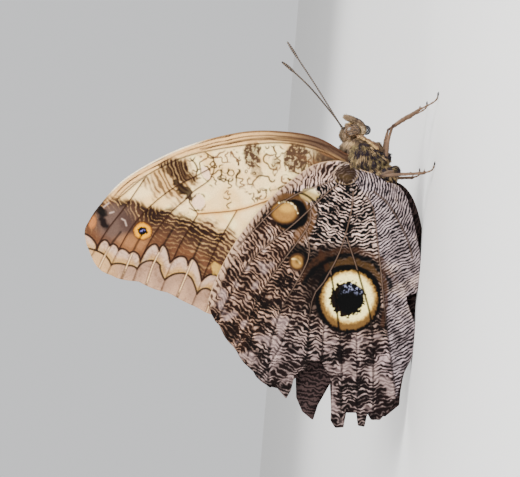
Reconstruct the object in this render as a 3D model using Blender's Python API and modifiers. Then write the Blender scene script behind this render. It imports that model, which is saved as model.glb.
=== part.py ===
"""Giant owl butterfly at rest, wings closed over its back, life size.

+X is forward, +Y is the insect's left and +Z is up, away from what it clings to.
The origin is on the ground under the middle of the insect. The model is drawn in
millimetres and brought to metres at the end. Points of a wing are (forward, up).
"""
import math

import bmesh
import bpy
from mathutils import Matrix, Vector
from mathutils.geometry import delaunay_2d_cdt

METRES_PER_MM = 0.001
GAP = 0.3

# The body: middle and half length, half width and half depth of each form.
THORAX_PITCH = math.radians(42)
MESOTHORAX = ((20.8, 0, 15.9), (6.2, 4.2, 4.5))
METATHORAX = ((16.9, 0, 12.2), (4.4, 3.7, 3.9))
PROTHORAX = ((25.3, 0, 19.5), (2.5, 2.4, 2.5))
SHOULDER_COVER = ((21.8, 3.0, 18.3), (2.4, 0.95, 1.4))
COXA_SIZE = (1.7, 1.1, 1.3)
COXAE = ((24.3, 1.6, 14.6), (21.7, 2.0, 12.0), (18.4, 2.0, 9.4))
ABDOMEN_START = Vector((15.2, 0, 12.6))
ABDOMEN_TIP = Vector((-7.6, 0, 5.6))
ABDOMEN_RADIUS = 3.1
ABDOMEN_RINGS = 7
RING_SWELL = 0.05

# The head and what it carries.
HEAD_PITCH = math.radians(20)
SKULL = ((28.2, 0, 21.3), (2.2, 2.3, 2.4))
FACE = ((29.5, 0, 20.7), (1.3, 1.5, 1.8))
CROWN = ((28.3, 0, 22.8), (1.5, 1.6, 1.2))
EYE_CENTRE = (28.5, 2.15, 21.2)
EYE_SIZE = (1.9, 1.35, 2.1)
PALP = [(27.6, 1.1, 19.2), (28.2, 1.3, 18.0), (29.9, 1.4, 18.3), (31.2, 1.4, 20.0), (32.0, 1.3, 21.8),
        (32.5, 1.0, 23.5)]
PALP_RADII = [0.4, 0.55, 0.72, 0.7, 0.5, 0.4, 0.15]
TONGUE_CENTRE = (29.0, 17.4)
TONGUE_RADII = (1.35, 0.42)
TONGUE_TURNS = 1.2
TONGUE_RADIUS = 0.25
ANTENNA_NEAR = [(28.9, -0.9, 23.6), (33.0, -4.0, 27.6), (38.3, -9.0, 33.5),
                (42.2, -14.6, 39.2), (43.6, -17.0, 41.7)]
ANTENNA_FAR = [(28.9, 0.9, 23.6), (35.9, 2.6, 28.6), (41.8, 4.8, 32.8),
               (47.4, 7.4, 36.9), (52.4, 9.2, 40.5)]
ANTENNA_BASE_RADIUS = 0.42
SHAFT_RADIUS = 0.26
CLUB_RADIUS = 0.42
CLUB_SHARE = 0.16

# The legs: hip, knee, ankle, last joint above the ground and toe, on the left side.
FORELEG = [(24.0, 2.4, 13.6), (24.9, 3.1, 14.9), (26.2, 3.2, 17.2), (26.9, 3.0, 19.3)]
FORELEG_RADII = [0.55, 0.5, 0.42, 0.2]
WALKING_LEGS = {
    "midleg": [(21.6, 2.4, 11.4), (30.2, 7.2, 10.9), (34.6, 10.2, 4.8), (37.2, 12.0, 0.8), (39.1, 13.1, 0.2)],
    "hindleg": [(18.5, 2.8, 9.2), (16.7, 8.7, 13.0), (18.0, 14.2, 2.6), (18.9, 16.2, 0.6), (20.6, 18.2, 0.2)],
}
FEMUR_RADII = [0.42, 0.6, 0.56, 0.42, 0.36]
TIBIA_RADII = [0.36, 0.48, 0.45, 0.42, 0.46]
TARSUS_JOINTS = 5
TARSUS_RADII = (0.32, 0.25)
SEGMENT_SAG = 0.5
SPUR_LENGTH = 1.5
SPUR_RADIUS = 0.26
CLAW_LENGTH = 0.8

# The wings. Inner faces are measured from the middle plane, before the wings
# swell outwards around the body.
MEMBRANE = 0.5
VEIN_RISE = 0.22
VEIN_HALF_WIDTH = 0.42
FOREWING_INNER_FACE = 0.2
HINDWING_INNER_FACE = FOREWING_INNER_FACE + MEMBRANE + VEIN_RISE + 0.38
BODY_LINE = [Vector((-7.5, 6.4)), Vector((14.6, 11.4)), Vector((27.0, 21.5))]
SWELL = 3.0
SWELL_REACH = 5.0
HINDWING_ROOT = Vector((16.3, 15.8))
ROOT_PULL = 1.4
ROOT_REACH = 3.0

FOREWING_COSTA = [(20.6, 17.6), (22.4, 22.6), (25.9, 30.0), (26.9, 39.0), (25.7, 51.2), (20.2, 66.5),
                  (11.3, 80.4), (2.6, 87.6), (-2.6, 90.4)]
FOREWING_TERMEN = [(-2.6, 90.4), (-5.0, 90.8), (-11.1, 88.6), (-15.6, 83.9), (-17.2, 75.2), (-20.3, 64.5),
                   (-23.4, 57.0), (-24.6, 50.9)]
FOREWING_DORSUM = [(-24.6, 50.9), (-5.2, 33.0), (8.5, 24.0), (14.6, 20.2), (17.8, 16.4)]
FOREWING_LOBES = 6
FOREWING_LOBE_DEPTH = 0.5
FOREWING_VEINS = {
    "subcosta": [(21.6, 22.5), (24.4, 29.0), (25.1, 37.7), (24.1, 48.4), (20.3, 61.6)],
    "radius": [(20.0, 23.0), (22.7, 30.5), (23.6, 42.0), (19.3, 61.6), (13.0, 74.0), (5.1, 82.6)],
    "radius_5": [(12.0, 75.3), (3.5, 80.2), (-3.8, 84.9), (-10.4, 88.2)],
    "media_1": [(19.6, 60.4), (16.4, 57.3), (8.1, 69.3), (-1.9, 78.0), (-15.0, 83.6)],
    "cell_end": [(16.4, 57.3), (12.4, 58.2), (7.2, 63.6), (2.8, 60.7)],
    "media_2": [(7.2, 63.6), (1.6, 68.8), (-6.9, 73.6), (-16.8, 76.7)],
    "media_3": [(2.8, 60.7), (-6.9, 65.3), (-18.6, 69.0)],
    "cubitus": [(17.4, 21.8), (12.5, 31.2), (7.8, 42.5), (4.7, 50.3), (2.8, 60.7)],
    "cubitus_2": [(4.7, 50.3), (-6.8, 55.5), (-22.3, 60.6)],
}

HINDWING_COSTA = [(17.6, 15.4), (18.4, 18.6), (20.1, 22.6), (19.4, 28.6), (16.4, 33.7), (7.3, 42.7),
                  (-3.6, 49.9), (-14.0, 54.4), (-20.6, 56.2)]
HINDWING_TERMEN = [(-20.6, 56.2), (-25.6, 53.8), (-33.4, 47.6), (-39.6, 41.6), (-42.2, 37.5)]
HINDWING_LOBES = 4
HINDWING_LOBE_DEPTH = 0.6
HINDWING_TAIL_RIGHT = [(-41.3, 36.4), (-44.8, 33.0), (-42.4, 31.9), (-38.2, 31.2), (-36.5, 28.3),
                       (-34.3, 27.9), (-33.8, 24.4), (-36.9, 22.8), (-39.4, 21.0), (-49.7, 20.6),
                       (-51.5, 19.2), (-51.2, 17.0), (-47.2, 16.6), (-47.0, 13.9), (-50.4, 13.2),
                       (-50.6, 11.4), (-47.0, 10.9), (-48.6, 9.8), (-48.4, 7.4), (-44.2, 4.2)]
HINDWING_TAIL_LEFT = [(-42.6, 34.8), (-39.3, 30.8), (-44.6, 30.2), (-48.2, 28.3), (-50.4, 25.2),
                      (-46.2, 24.2), (-40.2, 21.4), (-49.6, 20.2), (-51.3, 18.6), (-50.6, 17.0),
                      (-47.2, 16.6), (-47.0, 13.9), (-49.6, 12.8), (-49.2, 11.2), (-47.0, 10.6),
                      (-48.0, 9.2), (-47.7, 5.7), (-44.3, 2.2)]
HINDWING_INNER_RIGHT = [(-41.2, 3.2), (-36.0, 2.2), (-31.0, 0.2), (-27.0, -0.4), (-23.0, -0.3), (-17.4, 2.2),
                        (-14.6, 2.9), (-13.4, 0.3), (-9.0, -0.4), (-3.0, 0.3), (4.3, 2.4), (10.6, 4.6),
                        (14.6, 7.6), (15.4, 11.4), (17.0, 13.6)]
HINDWING_INNER_LEFT = [(-41.0, 2.2), (-35.7, 1.6), (-29.0, -0.3), (-14.0, -0.7), (0.0, -0.4), (6.0, 0.6),
                       (12.4, 3.4), (15.6, 6.8), (16.2, 10.8), (17.0, 13.6)]
HINDWING_VEINS = {
    "subcosta": [(16.6, 20.4), (14.8, 25.0), (8.2, 37.6), (-5.0, 49.4)],
    "radius": [(14.6, 20.6), (12.6, 25.2), (3.0, 34.0), (-9.0, 45.7), (-24.9, 53.1)],
    "media_1": [(6.0, 30.6), (0.9, 31.4), (-14.8, 40.9), (-32.0, 47.4)],
    "media_2": [(0.9, 31.4), (-7.0, 30.2), (-21.2, 36.3), (-31.0, 38.6), (-40.8, 38.2)],
    "media_3": [(-12.6, 25.4), (-18.0, 28.2), (-33.0, 28.4)],
    "cubitus": [(12.2, 19.6), (5.9, 19.8), (-4.3, 21.9), (-12.6, 25.4)],
    "cubitus_1": [(-9.6, 23.9), (-21.3, 21.1), (-34.7, 18.9), (-49.9, 17.9)],
    "cubitus_2": [(0.0, 20.4), (-11.4, 15.7), (-24.0, 11.6), (-46.4, 9.4)],
    "anal_2": [(11.2, 16.2), (8.0, 14.0), (-1.6, 11.9), (-25.6, 7.2), (-40.2, 4.0)],
    "anal_3": [(12.6, 14.2), (9.1, 9.8), (0.9, 4.4), (-4.3, 2.4)],
}


def clear_scene():
    for leftover in list(bpy.data.objects):
        bpy.data.objects.remove(leftover, do_unlink=True)


def surface(name, colour, roughness, metallic=0.0):
    finish = bpy.data.materials.new(name)
    finish.use_nodes = True
    shader = finish.node_tree.nodes["Principled BSDF"]
    shader.inputs["Base Color"].default_value = (*colour, 1.0)
    shader.inputs["Roughness"].default_value = roughness
    shader.inputs["Metallic"].default_value = metallic
    return finish


def smooth_path(points, step):
    """Points about a step apart on a rounded line through the given ones."""
    knots = [Vector(p) for p in points]
    knots = [2 * knots[0] - knots[1]] + knots + [2 * knots[-1] - knots[-2]]
    path = []
    for before, start, end, after in zip(knots, knots[1:], knots[2:], knots[3:]):
        pieces = max(1, round((end - start).length / step))
        for piece in range(pieces):
            t = piece / pieces
            path.append(0.5 * (2 * start + (end - before) * t
                               + (2 * before - 5 * start + 4 * end - after) * t ** 2
                               + (3 * start - before - 3 * end + after) * t ** 3))
    path.append(knots[-2])
    return path


def add_object(name, mesh):
    piece = bpy.data.objects.new(name, mesh)
    butterfly.objects.link(piece)
    return piece


def object_from_bmesh(name, shape):
    mesh = bpy.data.meshes.new(name)
    shape.to_mesh(mesh)
    shape.free()
    return add_object(name, mesh)


def bake(piece):
    """Replace an object's mesh by what its modifiers, or its curve, make of it."""
    evaluated = piece.evaluated_get(bpy.context.evaluated_depsgraph_get())
    mesh = bpy.data.meshes.new_from_object(evaluated)
    name = piece.name
    bpy.data.objects.remove(piece, do_unlink=True)
    shape = bmesh.new()
    shape.from_mesh(mesh)
    bmesh.ops.remove_doubles(shape, verts=shape.verts, dist=0.0005)
    bmesh.ops.recalc_face_normals(shape, faces=shape.faces)
    return object_from_bmesh(name, shape)


def ellipsoid(name, centre, size, pitch=0.0, sides=24, grow=0.0):
    """A round form, its length along the forward axis tipped up by pitch."""
    shape = bmesh.new()
    bmesh.ops.create_uvsphere(shape, u_segments=sides, v_segments=sides // 2, radius=1.0)
    stretch = Matrix.Diagonal([*(half + grow for half in size), 1.0])
    turn = Matrix.Rotation(-pitch, 4, "Y")
    bmesh.ops.transform(shape, verts=shape.verts, matrix=Matrix.Translation(centre) @ turn @ stretch)
    return object_from_bmesh(name, shape)


def tube(name, path, radii, sides_level=2):
    """A limb whose radius changes evenly between the given ones along the path."""
    curve = bpy.data.curves.new(name, "CURVE")
    curve.dimensions = "3D"
    curve.bevel_depth = 1.0
    curve.bevel_resolution = sides_level
    curve.use_fill_caps = True
    line = curve.splines.new("POLY")
    line.points.add(len(path) - 1)
    for index, (point, place) in enumerate(zip(line.points, path)):
        share = index / (len(path) - 1) * (len(radii) - 1)
        lower = min(int(share), len(radii) - 2)
        point.co = (*place, 1.0)
        point.radius = radii[lower] + (radii[lower + 1] - radii[lower]) * (share - lower)
    return bake(add_object(name, curve))


def keep_largest(piece):
    """Drop every closed surface but the largest, so that the piece is one body."""
    shape = bmesh.new()
    shape.from_mesh(piece.data)
    bmesh.ops.triangulate(shape, faces=shape.faces)
    bmesh.ops.remove_doubles(shape, verts=shape.verts, dist=0.0005)
    bmesh.ops.dissolve_degenerate(shape, edges=shape.edges, dist=0.0005)
    shape.faces.ensure_lookup_table()
    unseen = set(shape.faces)
    shells = []
    while unseen:
        front = [unseen.pop()]
        shell = set(front)
        while front:
            near = {face for edge in front.pop().edges for face in edge.link_faces}
            fresh = near & unseen
            unseen -= fresh
            shell |= fresh
            front.extend(fresh)
        shells.append(shell)
    largest = max(shells, key=lambda shell: sum(face.calc_area() for face in shell))
    scraps = [face for shell in shells if shell is not largest for face in shell]
    bmesh.ops.delete(shape, geom=scraps, context="FACES")
    shape.to_mesh(piece.data)
    shape.free()


def combine(piece, others, operation):
    """Join other solids to a piece, or cut them from it, and remove them."""
    tools = bpy.data.collections.new("tools")
    for other in others:
        tools.objects.link(other)
    change = piece.modifiers.new("combine", "BOOLEAN")
    change.operation = operation
    change.operand_type = "COLLECTION"
    change.collection = tools
    change.solver = "EXACT"
    result = bake(piece)
    for other in others:
        bpy.data.objects.remove(other, do_unlink=True)
    bpy.data.collections.remove(tools)
    keep_largest(result)
    return result


def finish(piece, name, material, smooth_angle=40):
    piece.name = name
    piece.data.name = name
    piece.data.materials.clear()
    piece.data.materials.append(material)
    piece.data.shade_smooth()
    piece.data.set_sharp_from_angle(angle=math.radians(smooth_angle))
    return piece


def mirrored(points, side):
    return [(x, side * y, z) for x, y, z in points]


def antenna_radii():
    """A thick root, an even shaft and a slim club that narrows to its tip."""
    radii = []
    for step in range(41):
        share = step / 40
        root = max(0.0, 1 - share / 0.05)
        club = max(0.0, (share - 1 + CLUB_SHARE) / CLUB_SHARE)
        radius = SHAFT_RADIUS + (ANTENNA_BASE_RADIUS - SHAFT_RADIUS) * root
        radii.append(radius + (CLUB_RADIUS - SHAFT_RADIUS) * math.sin(math.pi * min(club, 0.95) ** 0.8))
    return radii


def thorax_form(name, grow=0.0):
    """Three swollen rings of the chest, the covers of the wing roots and six hips."""
    main = ellipsoid(name, *MESOTHORAX, THORAX_PITCH, sides=32, grow=grow)
    rings = [ellipsoid("ring", *ring, THORAX_PITCH, sides=24, grow=grow) for ring in (METATHORAX, PROTHORAX)]
    hips = [ellipsoid("hip", (x, side * y, z), COXA_SIZE, -THORAX_PITCH, sides=14, grow=grow)
            for x, y, z in COXAE for side in (-1, 1)]
    (cover_x, cover_y, cover_z), cover_size = SHOULDER_COVER
    covers = [ellipsoid("cover", (cover_x, side * cover_y, cover_z), cover_size, THORAX_PITCH, 16, grow)
              for side in (-1, 1)]
    return combine(main, rings + hips + covers, "UNION")


def head_form(name, grow=0.0):
    """The skull with the face bulging forward and the crown between the feelers."""
    skull = ellipsoid(name, *SKULL, HEAD_PITCH, sides=24, grow=grow)
    bumps = [ellipsoid("bump", *bump, HEAD_PITCH, sides=18, grow=grow) for bump in (FACE, CROWN)]
    return combine(skull, bumps, "UNION")


def eye_form(name, side, grow=0.0):
    x, y, z = EYE_CENTRE
    return ellipsoid(name, (x, side * y, z), EYE_SIZE, HEAD_PITCH, sides=22, grow=grow)


def abdomen_form(name, grow=0.0):
    """A ringed, tapering body turned around its own axis."""
    axis = ABDOMEN_TIP - ABDOMEN_START
    rows = ABDOMEN_RINGS * 5
    shape = bmesh.new()
    previous = None
    for row in range(rows + 1):
        share = row / rows
        taper = math.sin(math.pi * min(1.0, 0.16 + 0.84 * share) ** 0.8) ** 0.55
        swell = 1 - RING_SWELL + RING_SWELL * abs(math.sin(math.pi * ABDOMEN_RINGS * share))
        radius = 0.0 if row in (0, rows) else ABDOMEN_RADIUS * taper * swell + grow
        vertex = shape.verts.new((radius, 0, (0.5 - share) * (axis.length + 2 * grow)))
        if previous:
            shape.edges.new((previous, vertex))
        previous = vertex
    piece = object_from_bmesh(name, shape)
    turn = piece.modifiers.new("turn", "SCREW")
    turn.steps = 24
    turn.render_steps = 24
    turn.use_merge_vertices = True
    turn.merge_threshold = 0.0001
    piece = bake(piece)
    middle = (ABDOMEN_START + ABDOMEN_TIP) / 2
    aim = axis.to_track_quat("-Z", "Y").to_matrix().to_4x4()
    piece.data.transform(Matrix.Translation(middle) @ aim)
    return piece


def bowed(start, end, sag):
    """A slightly bent line from start to end, its middle raised by sag."""
    middle = (start + end) / 2 + Vector((0, 0, sag))
    return smooth_path([start, middle, end], (end - start).length / 6)


def walking_leg(name, joints, side):
    """Thigh, shin and a jointed foot with two spurs at the ankle and two claws."""
    hip, knee, ankle, heel, toe = [Vector(p) for p in mirrored(joints, side)]
    thigh = tube(name, bowed(hip, knee, SEGMENT_SAG), FEMUR_RADII)
    shin = tube("shin", bowed(knee, ankle, SEGMENT_SAG / 2), TIBIA_RADII)
    foot_radii = []
    for joint in range(TARSUS_JOINTS):
        wide = TARSUS_RADII[0] + (TARSUS_RADII[1] - TARSUS_RADII[0]) * joint / (TARSUS_JOINTS - 1)
        foot_radii += [wide * 0.8, wide, wide]
    foot = tube("foot", smooth_path([ankle, heel, toe], 0.5), foot_radii)
    extras = [shin, foot]
    down_leg = (heel - ankle).normalized()
    toward_toe = (toe - heel).normalized()
    across = Vector((-toward_toe.y, toward_toe.x, 0))
    for spread in (-0.5, 0.5):
        spur_aim = (down_leg + Vector((0.4, 0, 0.4)) + across * spread).normalized()
        extras.append(tube("spur", [ankle, ankle + spur_aim * SPUR_LENGTH], [SPUR_RADIUS, 0.08], 1))
        claw_aim = (toward_toe + across * spread).normalized()
        claw_root = toe - toward_toe * 0.3
        extras.append(tube("claw", [claw_root, claw_root + claw_aim * CLAW_LENGTH], [SPUR_RADIUS, 0.12], 1))
    return combine(thigh, extras, "UNION")


def rest_on_ground(piece):
    """Press whatever would sink below the ground into a flat at its level."""
    for vertex in piece.data.vertices:
        vertex.co.z = max(vertex.co.z, 0.0)


def distance_to_line(point, line):
    """Shortest distance from a point to a line of straight runs."""
    best = math.inf
    for start, end in zip(line, line[1:]):
        run = end - start
        share = max(0.0, min(1.0, (point - start).dot(run) / run.length_squared))
        best = min(best, (point - start - run * share).length)
    return best


def swell_at(point):
    """How far the closed wings stand out around the body at a wing point."""
    around_body = SWELL * math.exp(-(distance_to_line(point, BODY_LINE) / SWELL_REACH) ** 2)
    at_root = ROOT_PULL * math.exp(-((point - HINDWING_ROOT).length / ROOT_REACH) ** 2)
    return around_body - at_root


def lobed(points, lobes, depth, step=1.6):
    """A rounded margin that dips between its lobes by the given depth."""
    path = smooth_path(points, step)
    last = len(path) - 1
    result = [path[0]]
    for index in range(1, last):
        along = (path[index + 1] - path[index - 1]).normalized()
        inward = Vector((along.y, -along.x))
        dip = depth * (1 - abs(math.sin(math.pi * lobes * index / last)))
        fade = min(1.0, 4 * index / last, 4 * (last - index) / last)
        result.append(path[index] - inward * dip * fade)
    result.append(path[last])
    return result


def beside(path, offset):
    """The line that runs beside a path at a fixed distance."""
    result = []
    for index, place in enumerate(path):
        ahead = path[min(index + 1, len(path) - 1)]
        behind = path[max(index - 1, 0)]
        along = (ahead - behind).normalized()
        result.append(place + Vector((-along.y, along.x)) * offset)
    return result


def wing(name, outline, veins, inner_face, side):
    """A thin membrane cut to its outline, with the veins raised in its outer face.

    Both faces are split into the same triangles, so that they never cross.
    """
    border = [Vector((x, max(z, 0.0))) for x, z in outline]
    border = [here for here, before in zip(border, [border[-1]] + border) if (here - before).length > 0.15]
    centres = [smooth_path(line, 3.2) for line in veins.values()]
    places = list(border)
    edges = []
    for centre in centres:
        for line in (centre, beside(centre, VEIN_HALF_WIDTH), beside(centre, -VEIN_HALF_WIDTH)):
            start = len(places)
            places.extend(line)
            edges.extend((start + i, start + i + 1) for i in range(len(line) - 1))
    edge_loop = border + border[:1]
    low = [min(p[axis] for p in border) for axis in (0, 1)]
    high = [max(p[axis] for p in border) for axis in (0, 1)]
    fine, coarse = 2.9, 8.7
    for column in range(int((high[0] - low[0]) / fine) + 1):
        for row in range(int((high[1] - low[1]) / fine) + 1):
            spot = Vector((low[0] + (column + 0.5 * (row % 2)) * fine, low[1] + row * fine))
            near_body = distance_to_line(spot, BODY_LINE) < 2.6 * SWELL_REACH
            if not near_body and (column % 3 or row % 3):
                continue
            clear = 0.9 if near_body else 0.3 * coarse
            if all(distance_to_line(spot, line) > clear for line in [edge_loop] + centres):
                places.append(spot)
    flat, _, triangles, *_ = delaunay_2d_cdt(places, edges, [list(range(len(border)))], 1, 0.02)
    shape = bmesh.new()
    inner, outer = [], []
    for spot in flat:
        rise = max(0.0, 1 - min(distance_to_line(spot, line) for line in centres) / VEIN_HALF_WIDTH)
        out = inner_face + swell_at(spot)
        inner.append(shape.verts.new((spot.x, side * out, spot.y)))
        outer.append(shape.verts.new((spot.x, side * (out + MEMBRANE + VEIN_RISE * rise), spot.y)))
    sides = {}
    for corners in triangles:
        shape.faces.new([outer[i] for i in corners])
        shape.faces.new([inner[i] for i in reversed(corners)])
        for start, end in zip(corners, corners[1:] + corners[:1]):
            sides[(start, end)] = (end, start) not in sides
            if not sides[(start, end)]:
                sides[(end, start)] = False
    for (start, end), open_edge in sides.items():
        if open_edge:
            shape.faces.new([outer[end], outer[start], inner[start], inner[end]])
    loose = [vertex for vertex in shape.verts if not vertex.link_faces]
    bmesh.ops.delete(shape, geom=loose, context="VERTS")
    bmesh.ops.triangulate(shape, faces=shape.faces)
    bmesh.ops.recalc_face_normals(shape, faces=shape.faces)
    piece = object_from_bmesh(name, shape)
    return combine(piece, [thorax_form("cutter", GAP)], "DIFFERENCE")


def forewing_outline():
    return (smooth_path(FOREWING_COSTA, 3.0)
            + lobed(FOREWING_TERMEN, FOREWING_LOBES, FOREWING_LOBE_DEPTH)[1:]
            + smooth_path(FOREWING_DORSUM, 5.0)[1:-1])


def hindwing_outline(tail, inner_margin):
    return (smooth_path(HINDWING_COSTA, 3.0)
            + lobed(HINDWING_TERMEN, HINDWING_LOBES, HINDWING_LOBE_DEPTH)[1:]
            + [Vector(p) for p in tail]
            + smooth_path(inner_margin, 2.4))


clear_scene()
butterfly = bpy.data.collections.new("owl_butterfly")
bpy.context.scene.collection.children.link(butterfly)

chest_fur = surface("chest_fur", (0.16, 0.12, 0.10), 0.85)
belly_fur = surface("belly_fur", (0.28, 0.21, 0.14), 0.85)
face_fur = surface("face_fur", (0.20, 0.14, 0.09), 0.85)
eye_shell = surface("eye_shell", (0.05, 0.03, 0.02), 0.25)
horn = surface("horn", (0.09, 0.05, 0.03), 0.5)
tongue_skin = surface("tongue_skin", (0.03, 0.03, 0.06), 0.4)
leg_scales = surface("leg_scales", (0.42, 0.26, 0.17), 0.7)
forewing_scales = surface("forewing_scales", (0.62, 0.52, 0.42), 0.75)
hindwing_scales = surface("hindwing_scales", (0.22, 0.15, 0.13), 0.75)

finish(thorax_form("chest"), "thorax", chest_fur)
belly = combine(abdomen_form("belly"), [thorax_form("cutter", GAP)], "DIFFERENCE")
finish(belly, "abdomen", belly_fur)
skull = combine(head_form("skull"), [thorax_form("cutter", GAP)], "DIFFERENCE")
skull = combine(skull, [eye_form("cutter", side, GAP) for side in (-1, 1)], "DIFFERENCE")
finish(skull, "head", face_fur)

tongue_path = [(TONGUE_CENTRE[0] - 0.2, 0, TONGUE_CENTRE[1] + TONGUE_RADII[0] + 0.7)]
for step in range(37):
    share = step / 36
    angle = math.radians(95) - 2 * math.pi * TONGUE_TURNS * share
    radius = TONGUE_RADII[0] + (TONGUE_RADII[1] - TONGUE_RADII[0]) * share
    forward = TONGUE_CENTRE[0] + radius * math.cos(angle)
    tongue_path.append((forward, 0, TONGUE_CENTRE[1] + radius * math.sin(angle)))
tongue = tube("tongue", tongue_path, [TONGUE_RADIUS, TONGUE_RADIUS, TONGUE_RADIUS * 0.8])
tongue = combine(tongue, [head_form("cutter", GAP)], "DIFFERENCE")
finish(tongue, "proboscis", tongue_skin)

for side_name, side in (("left", 1), ("right", -1)):
    finish(eye_form("eye", side), f"eye_{side_name}", eye_shell)
    palp = tube("palp", smooth_path(mirrored(PALP, side), 0.7), PALP_RADII, 3)
    palp = combine(palp, [head_form("cutter", GAP), thorax_form("cutter", GAP)], "DIFFERENCE")
    finish(palp, f"palp_{side_name}", face_fur)
    route = smooth_path(ANTENNA_FAR if side > 0 else ANTENNA_NEAR, 1.2)
    antenna = tube("antenna", route, antenna_radii())
    antenna = combine(antenna, [head_form("cutter", GAP)], "DIFFERENCE")
    finish(antenna, f"antenna_{side_name}", horn)
    foreleg = tube("foreleg", smooth_path(mirrored(FORELEG, side), 0.9), FORELEG_RADII)
    foreleg = combine(foreleg, [thorax_form("cutter", GAP)], "DIFFERENCE")
    finish(foreleg, f"foreleg_{side_name}", leg_scales)
    for leg_name, joints in WALKING_LEGS.items():
        leg = combine(walking_leg(leg_name, joints, side), [thorax_form("cutter", GAP)], "DIFFERENCE")
        rest_on_ground(leg)
        finish(leg, f"{leg_name}_{side_name}", leg_scales)
    forewing = wing("forewing", forewing_outline(), FOREWING_VEINS, FOREWING_INNER_FACE, side)
    finish(forewing, f"forewing_{side_name}", forewing_scales)
    if side > 0:
        outline = hindwing_outline(HINDWING_TAIL_LEFT, HINDWING_INNER_LEFT)
    else:
        outline = hindwing_outline(HINDWING_TAIL_RIGHT, HINDWING_INNER_RIGHT)
    hindwing = wing("hindwing", outline, HINDWING_VEINS, HINDWING_INNER_FACE, side)
    finish(hindwing, f"hindwing_{side_name}", hindwing_scales)

for piece in butterfly.objects:
    piece.data.transform(Matrix.Scale(METRES_PER_MM, 4))
    piece.data.update()
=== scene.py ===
"""Giant owl butterfly at rest, life size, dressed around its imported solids.

+X is forward, +Y the insect's left and +Z up. Pieces are drawn in millimetres,
and places on a wing are (forward, up), seen from the insect's right.
"""
import functools
import math

import bmesh
import bpy
import numpy as np
from mathutils import Matrix, Vector
from mathutils.geometry import delaunay_2d_cdt


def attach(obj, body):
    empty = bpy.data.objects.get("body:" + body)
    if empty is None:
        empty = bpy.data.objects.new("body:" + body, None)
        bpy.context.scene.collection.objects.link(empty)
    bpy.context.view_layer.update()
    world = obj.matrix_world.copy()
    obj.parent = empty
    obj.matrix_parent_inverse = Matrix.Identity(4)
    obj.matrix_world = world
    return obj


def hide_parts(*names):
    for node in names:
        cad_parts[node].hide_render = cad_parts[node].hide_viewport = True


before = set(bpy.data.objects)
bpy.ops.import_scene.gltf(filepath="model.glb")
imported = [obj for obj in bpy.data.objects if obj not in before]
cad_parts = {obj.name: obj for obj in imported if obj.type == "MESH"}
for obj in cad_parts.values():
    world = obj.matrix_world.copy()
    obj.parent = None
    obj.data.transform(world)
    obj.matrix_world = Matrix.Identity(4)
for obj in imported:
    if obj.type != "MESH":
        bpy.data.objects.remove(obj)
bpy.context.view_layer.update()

# HEAD, THORAX AND ABDOMEN
# One skin from crown to tail: three swollen chest rings under the wing roots, six
# hips, a skull with a bulging face, and seven belly rings that taper to the tail.
THORAX_PITCH = math.radians(42)
HEAD_PITCH = math.radians(20)
COAT_DEPTH = 0.45
TRUNK_FORMS = [
    ((20.8, 0, 15.9), (6.2, 4.2, 4.5), THORAX_PITCH), ((16.9, 0, 12.2), (4.4, 3.7, 3.9), THORAX_PITCH),
    ((25.3, 0, 19.5), (2.5, 2.4, 2.5), THORAX_PITCH), ((28.2, 0, 21.3), (2.2, 2.3, 2.4), HEAD_PITCH),
    ((29.5, 0, 20.7), (1.3, 1.5, 1.8), HEAD_PITCH), ((28.3, 0, 22.8), (1.5, 1.6, 1.2), HEAD_PITCH),
]
PAIRED_FORMS = [
    ((21.8, 3, 18.3), (2.4, 0.95, 1.4), THORAX_PITCH), ((24.3, 1.6, 14.6), (1.7, 1.1, 1.3), -THORAX_PITCH),
    ((21.7, 2, 12), (1.7, 1.1, 1.3), -THORAX_PITCH), ((18.4, 2, 9.4), (1.7, 1.1, 1.3), -THORAX_PITCH),
]
ABDOMEN_START = Vector((15.2, 0, 12.6))
ABDOMEN_TIP = Vector((-7.6, 0, 5.6))
ABDOMEN_RADIUS = 3.1
ABDOMEN_RINGS = 7
RING_SWELL = 0.07
RING_ROWS = 60
RING_SIDES = 40
SKIN_VOXEL = 0.28
PLATE_SPACING = 1.5
PLATE_TRIALS = 6000
SIDES = {"left": 1, "right": -1}


def tone(red, green, blue):
    """A painted colour in ordinary 0 to 255 steps, as the share of light it gives back."""
    light = (np.array([red, green, blue]) / 255) ** 4.0
    grey = light.mean()
    return np.clip(grey + (0.8 + 1.1 * grey) * (light - grey), 0.001, 0.95)


def rise(value, *ends):
    """An even S from 0 to 1 between a low end, which is 0 where only one is given, and a high one."""
    low, high = (0, *ends)[-2:]
    t = np.clip((value - low) / (high - low), 0, 1)
    return t * t * (3 - 2 * t)


def paint(colour, over, amount):
    """Lay a colour, or a tone given in steps, over the one below, as thickly as amount says."""
    amount = np.clip(amount, 0, 1)[..., None]
    return colour * (1 - amount) + (tone(*over) if isinstance(over, tuple) else over) * amount


def layered(base, *coats):
    """A base tone under further coats, each a colour and how thickly it lies."""
    return functools.reduce(lambda below, coat: paint(below, *coat), coats, tone(*base))


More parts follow.
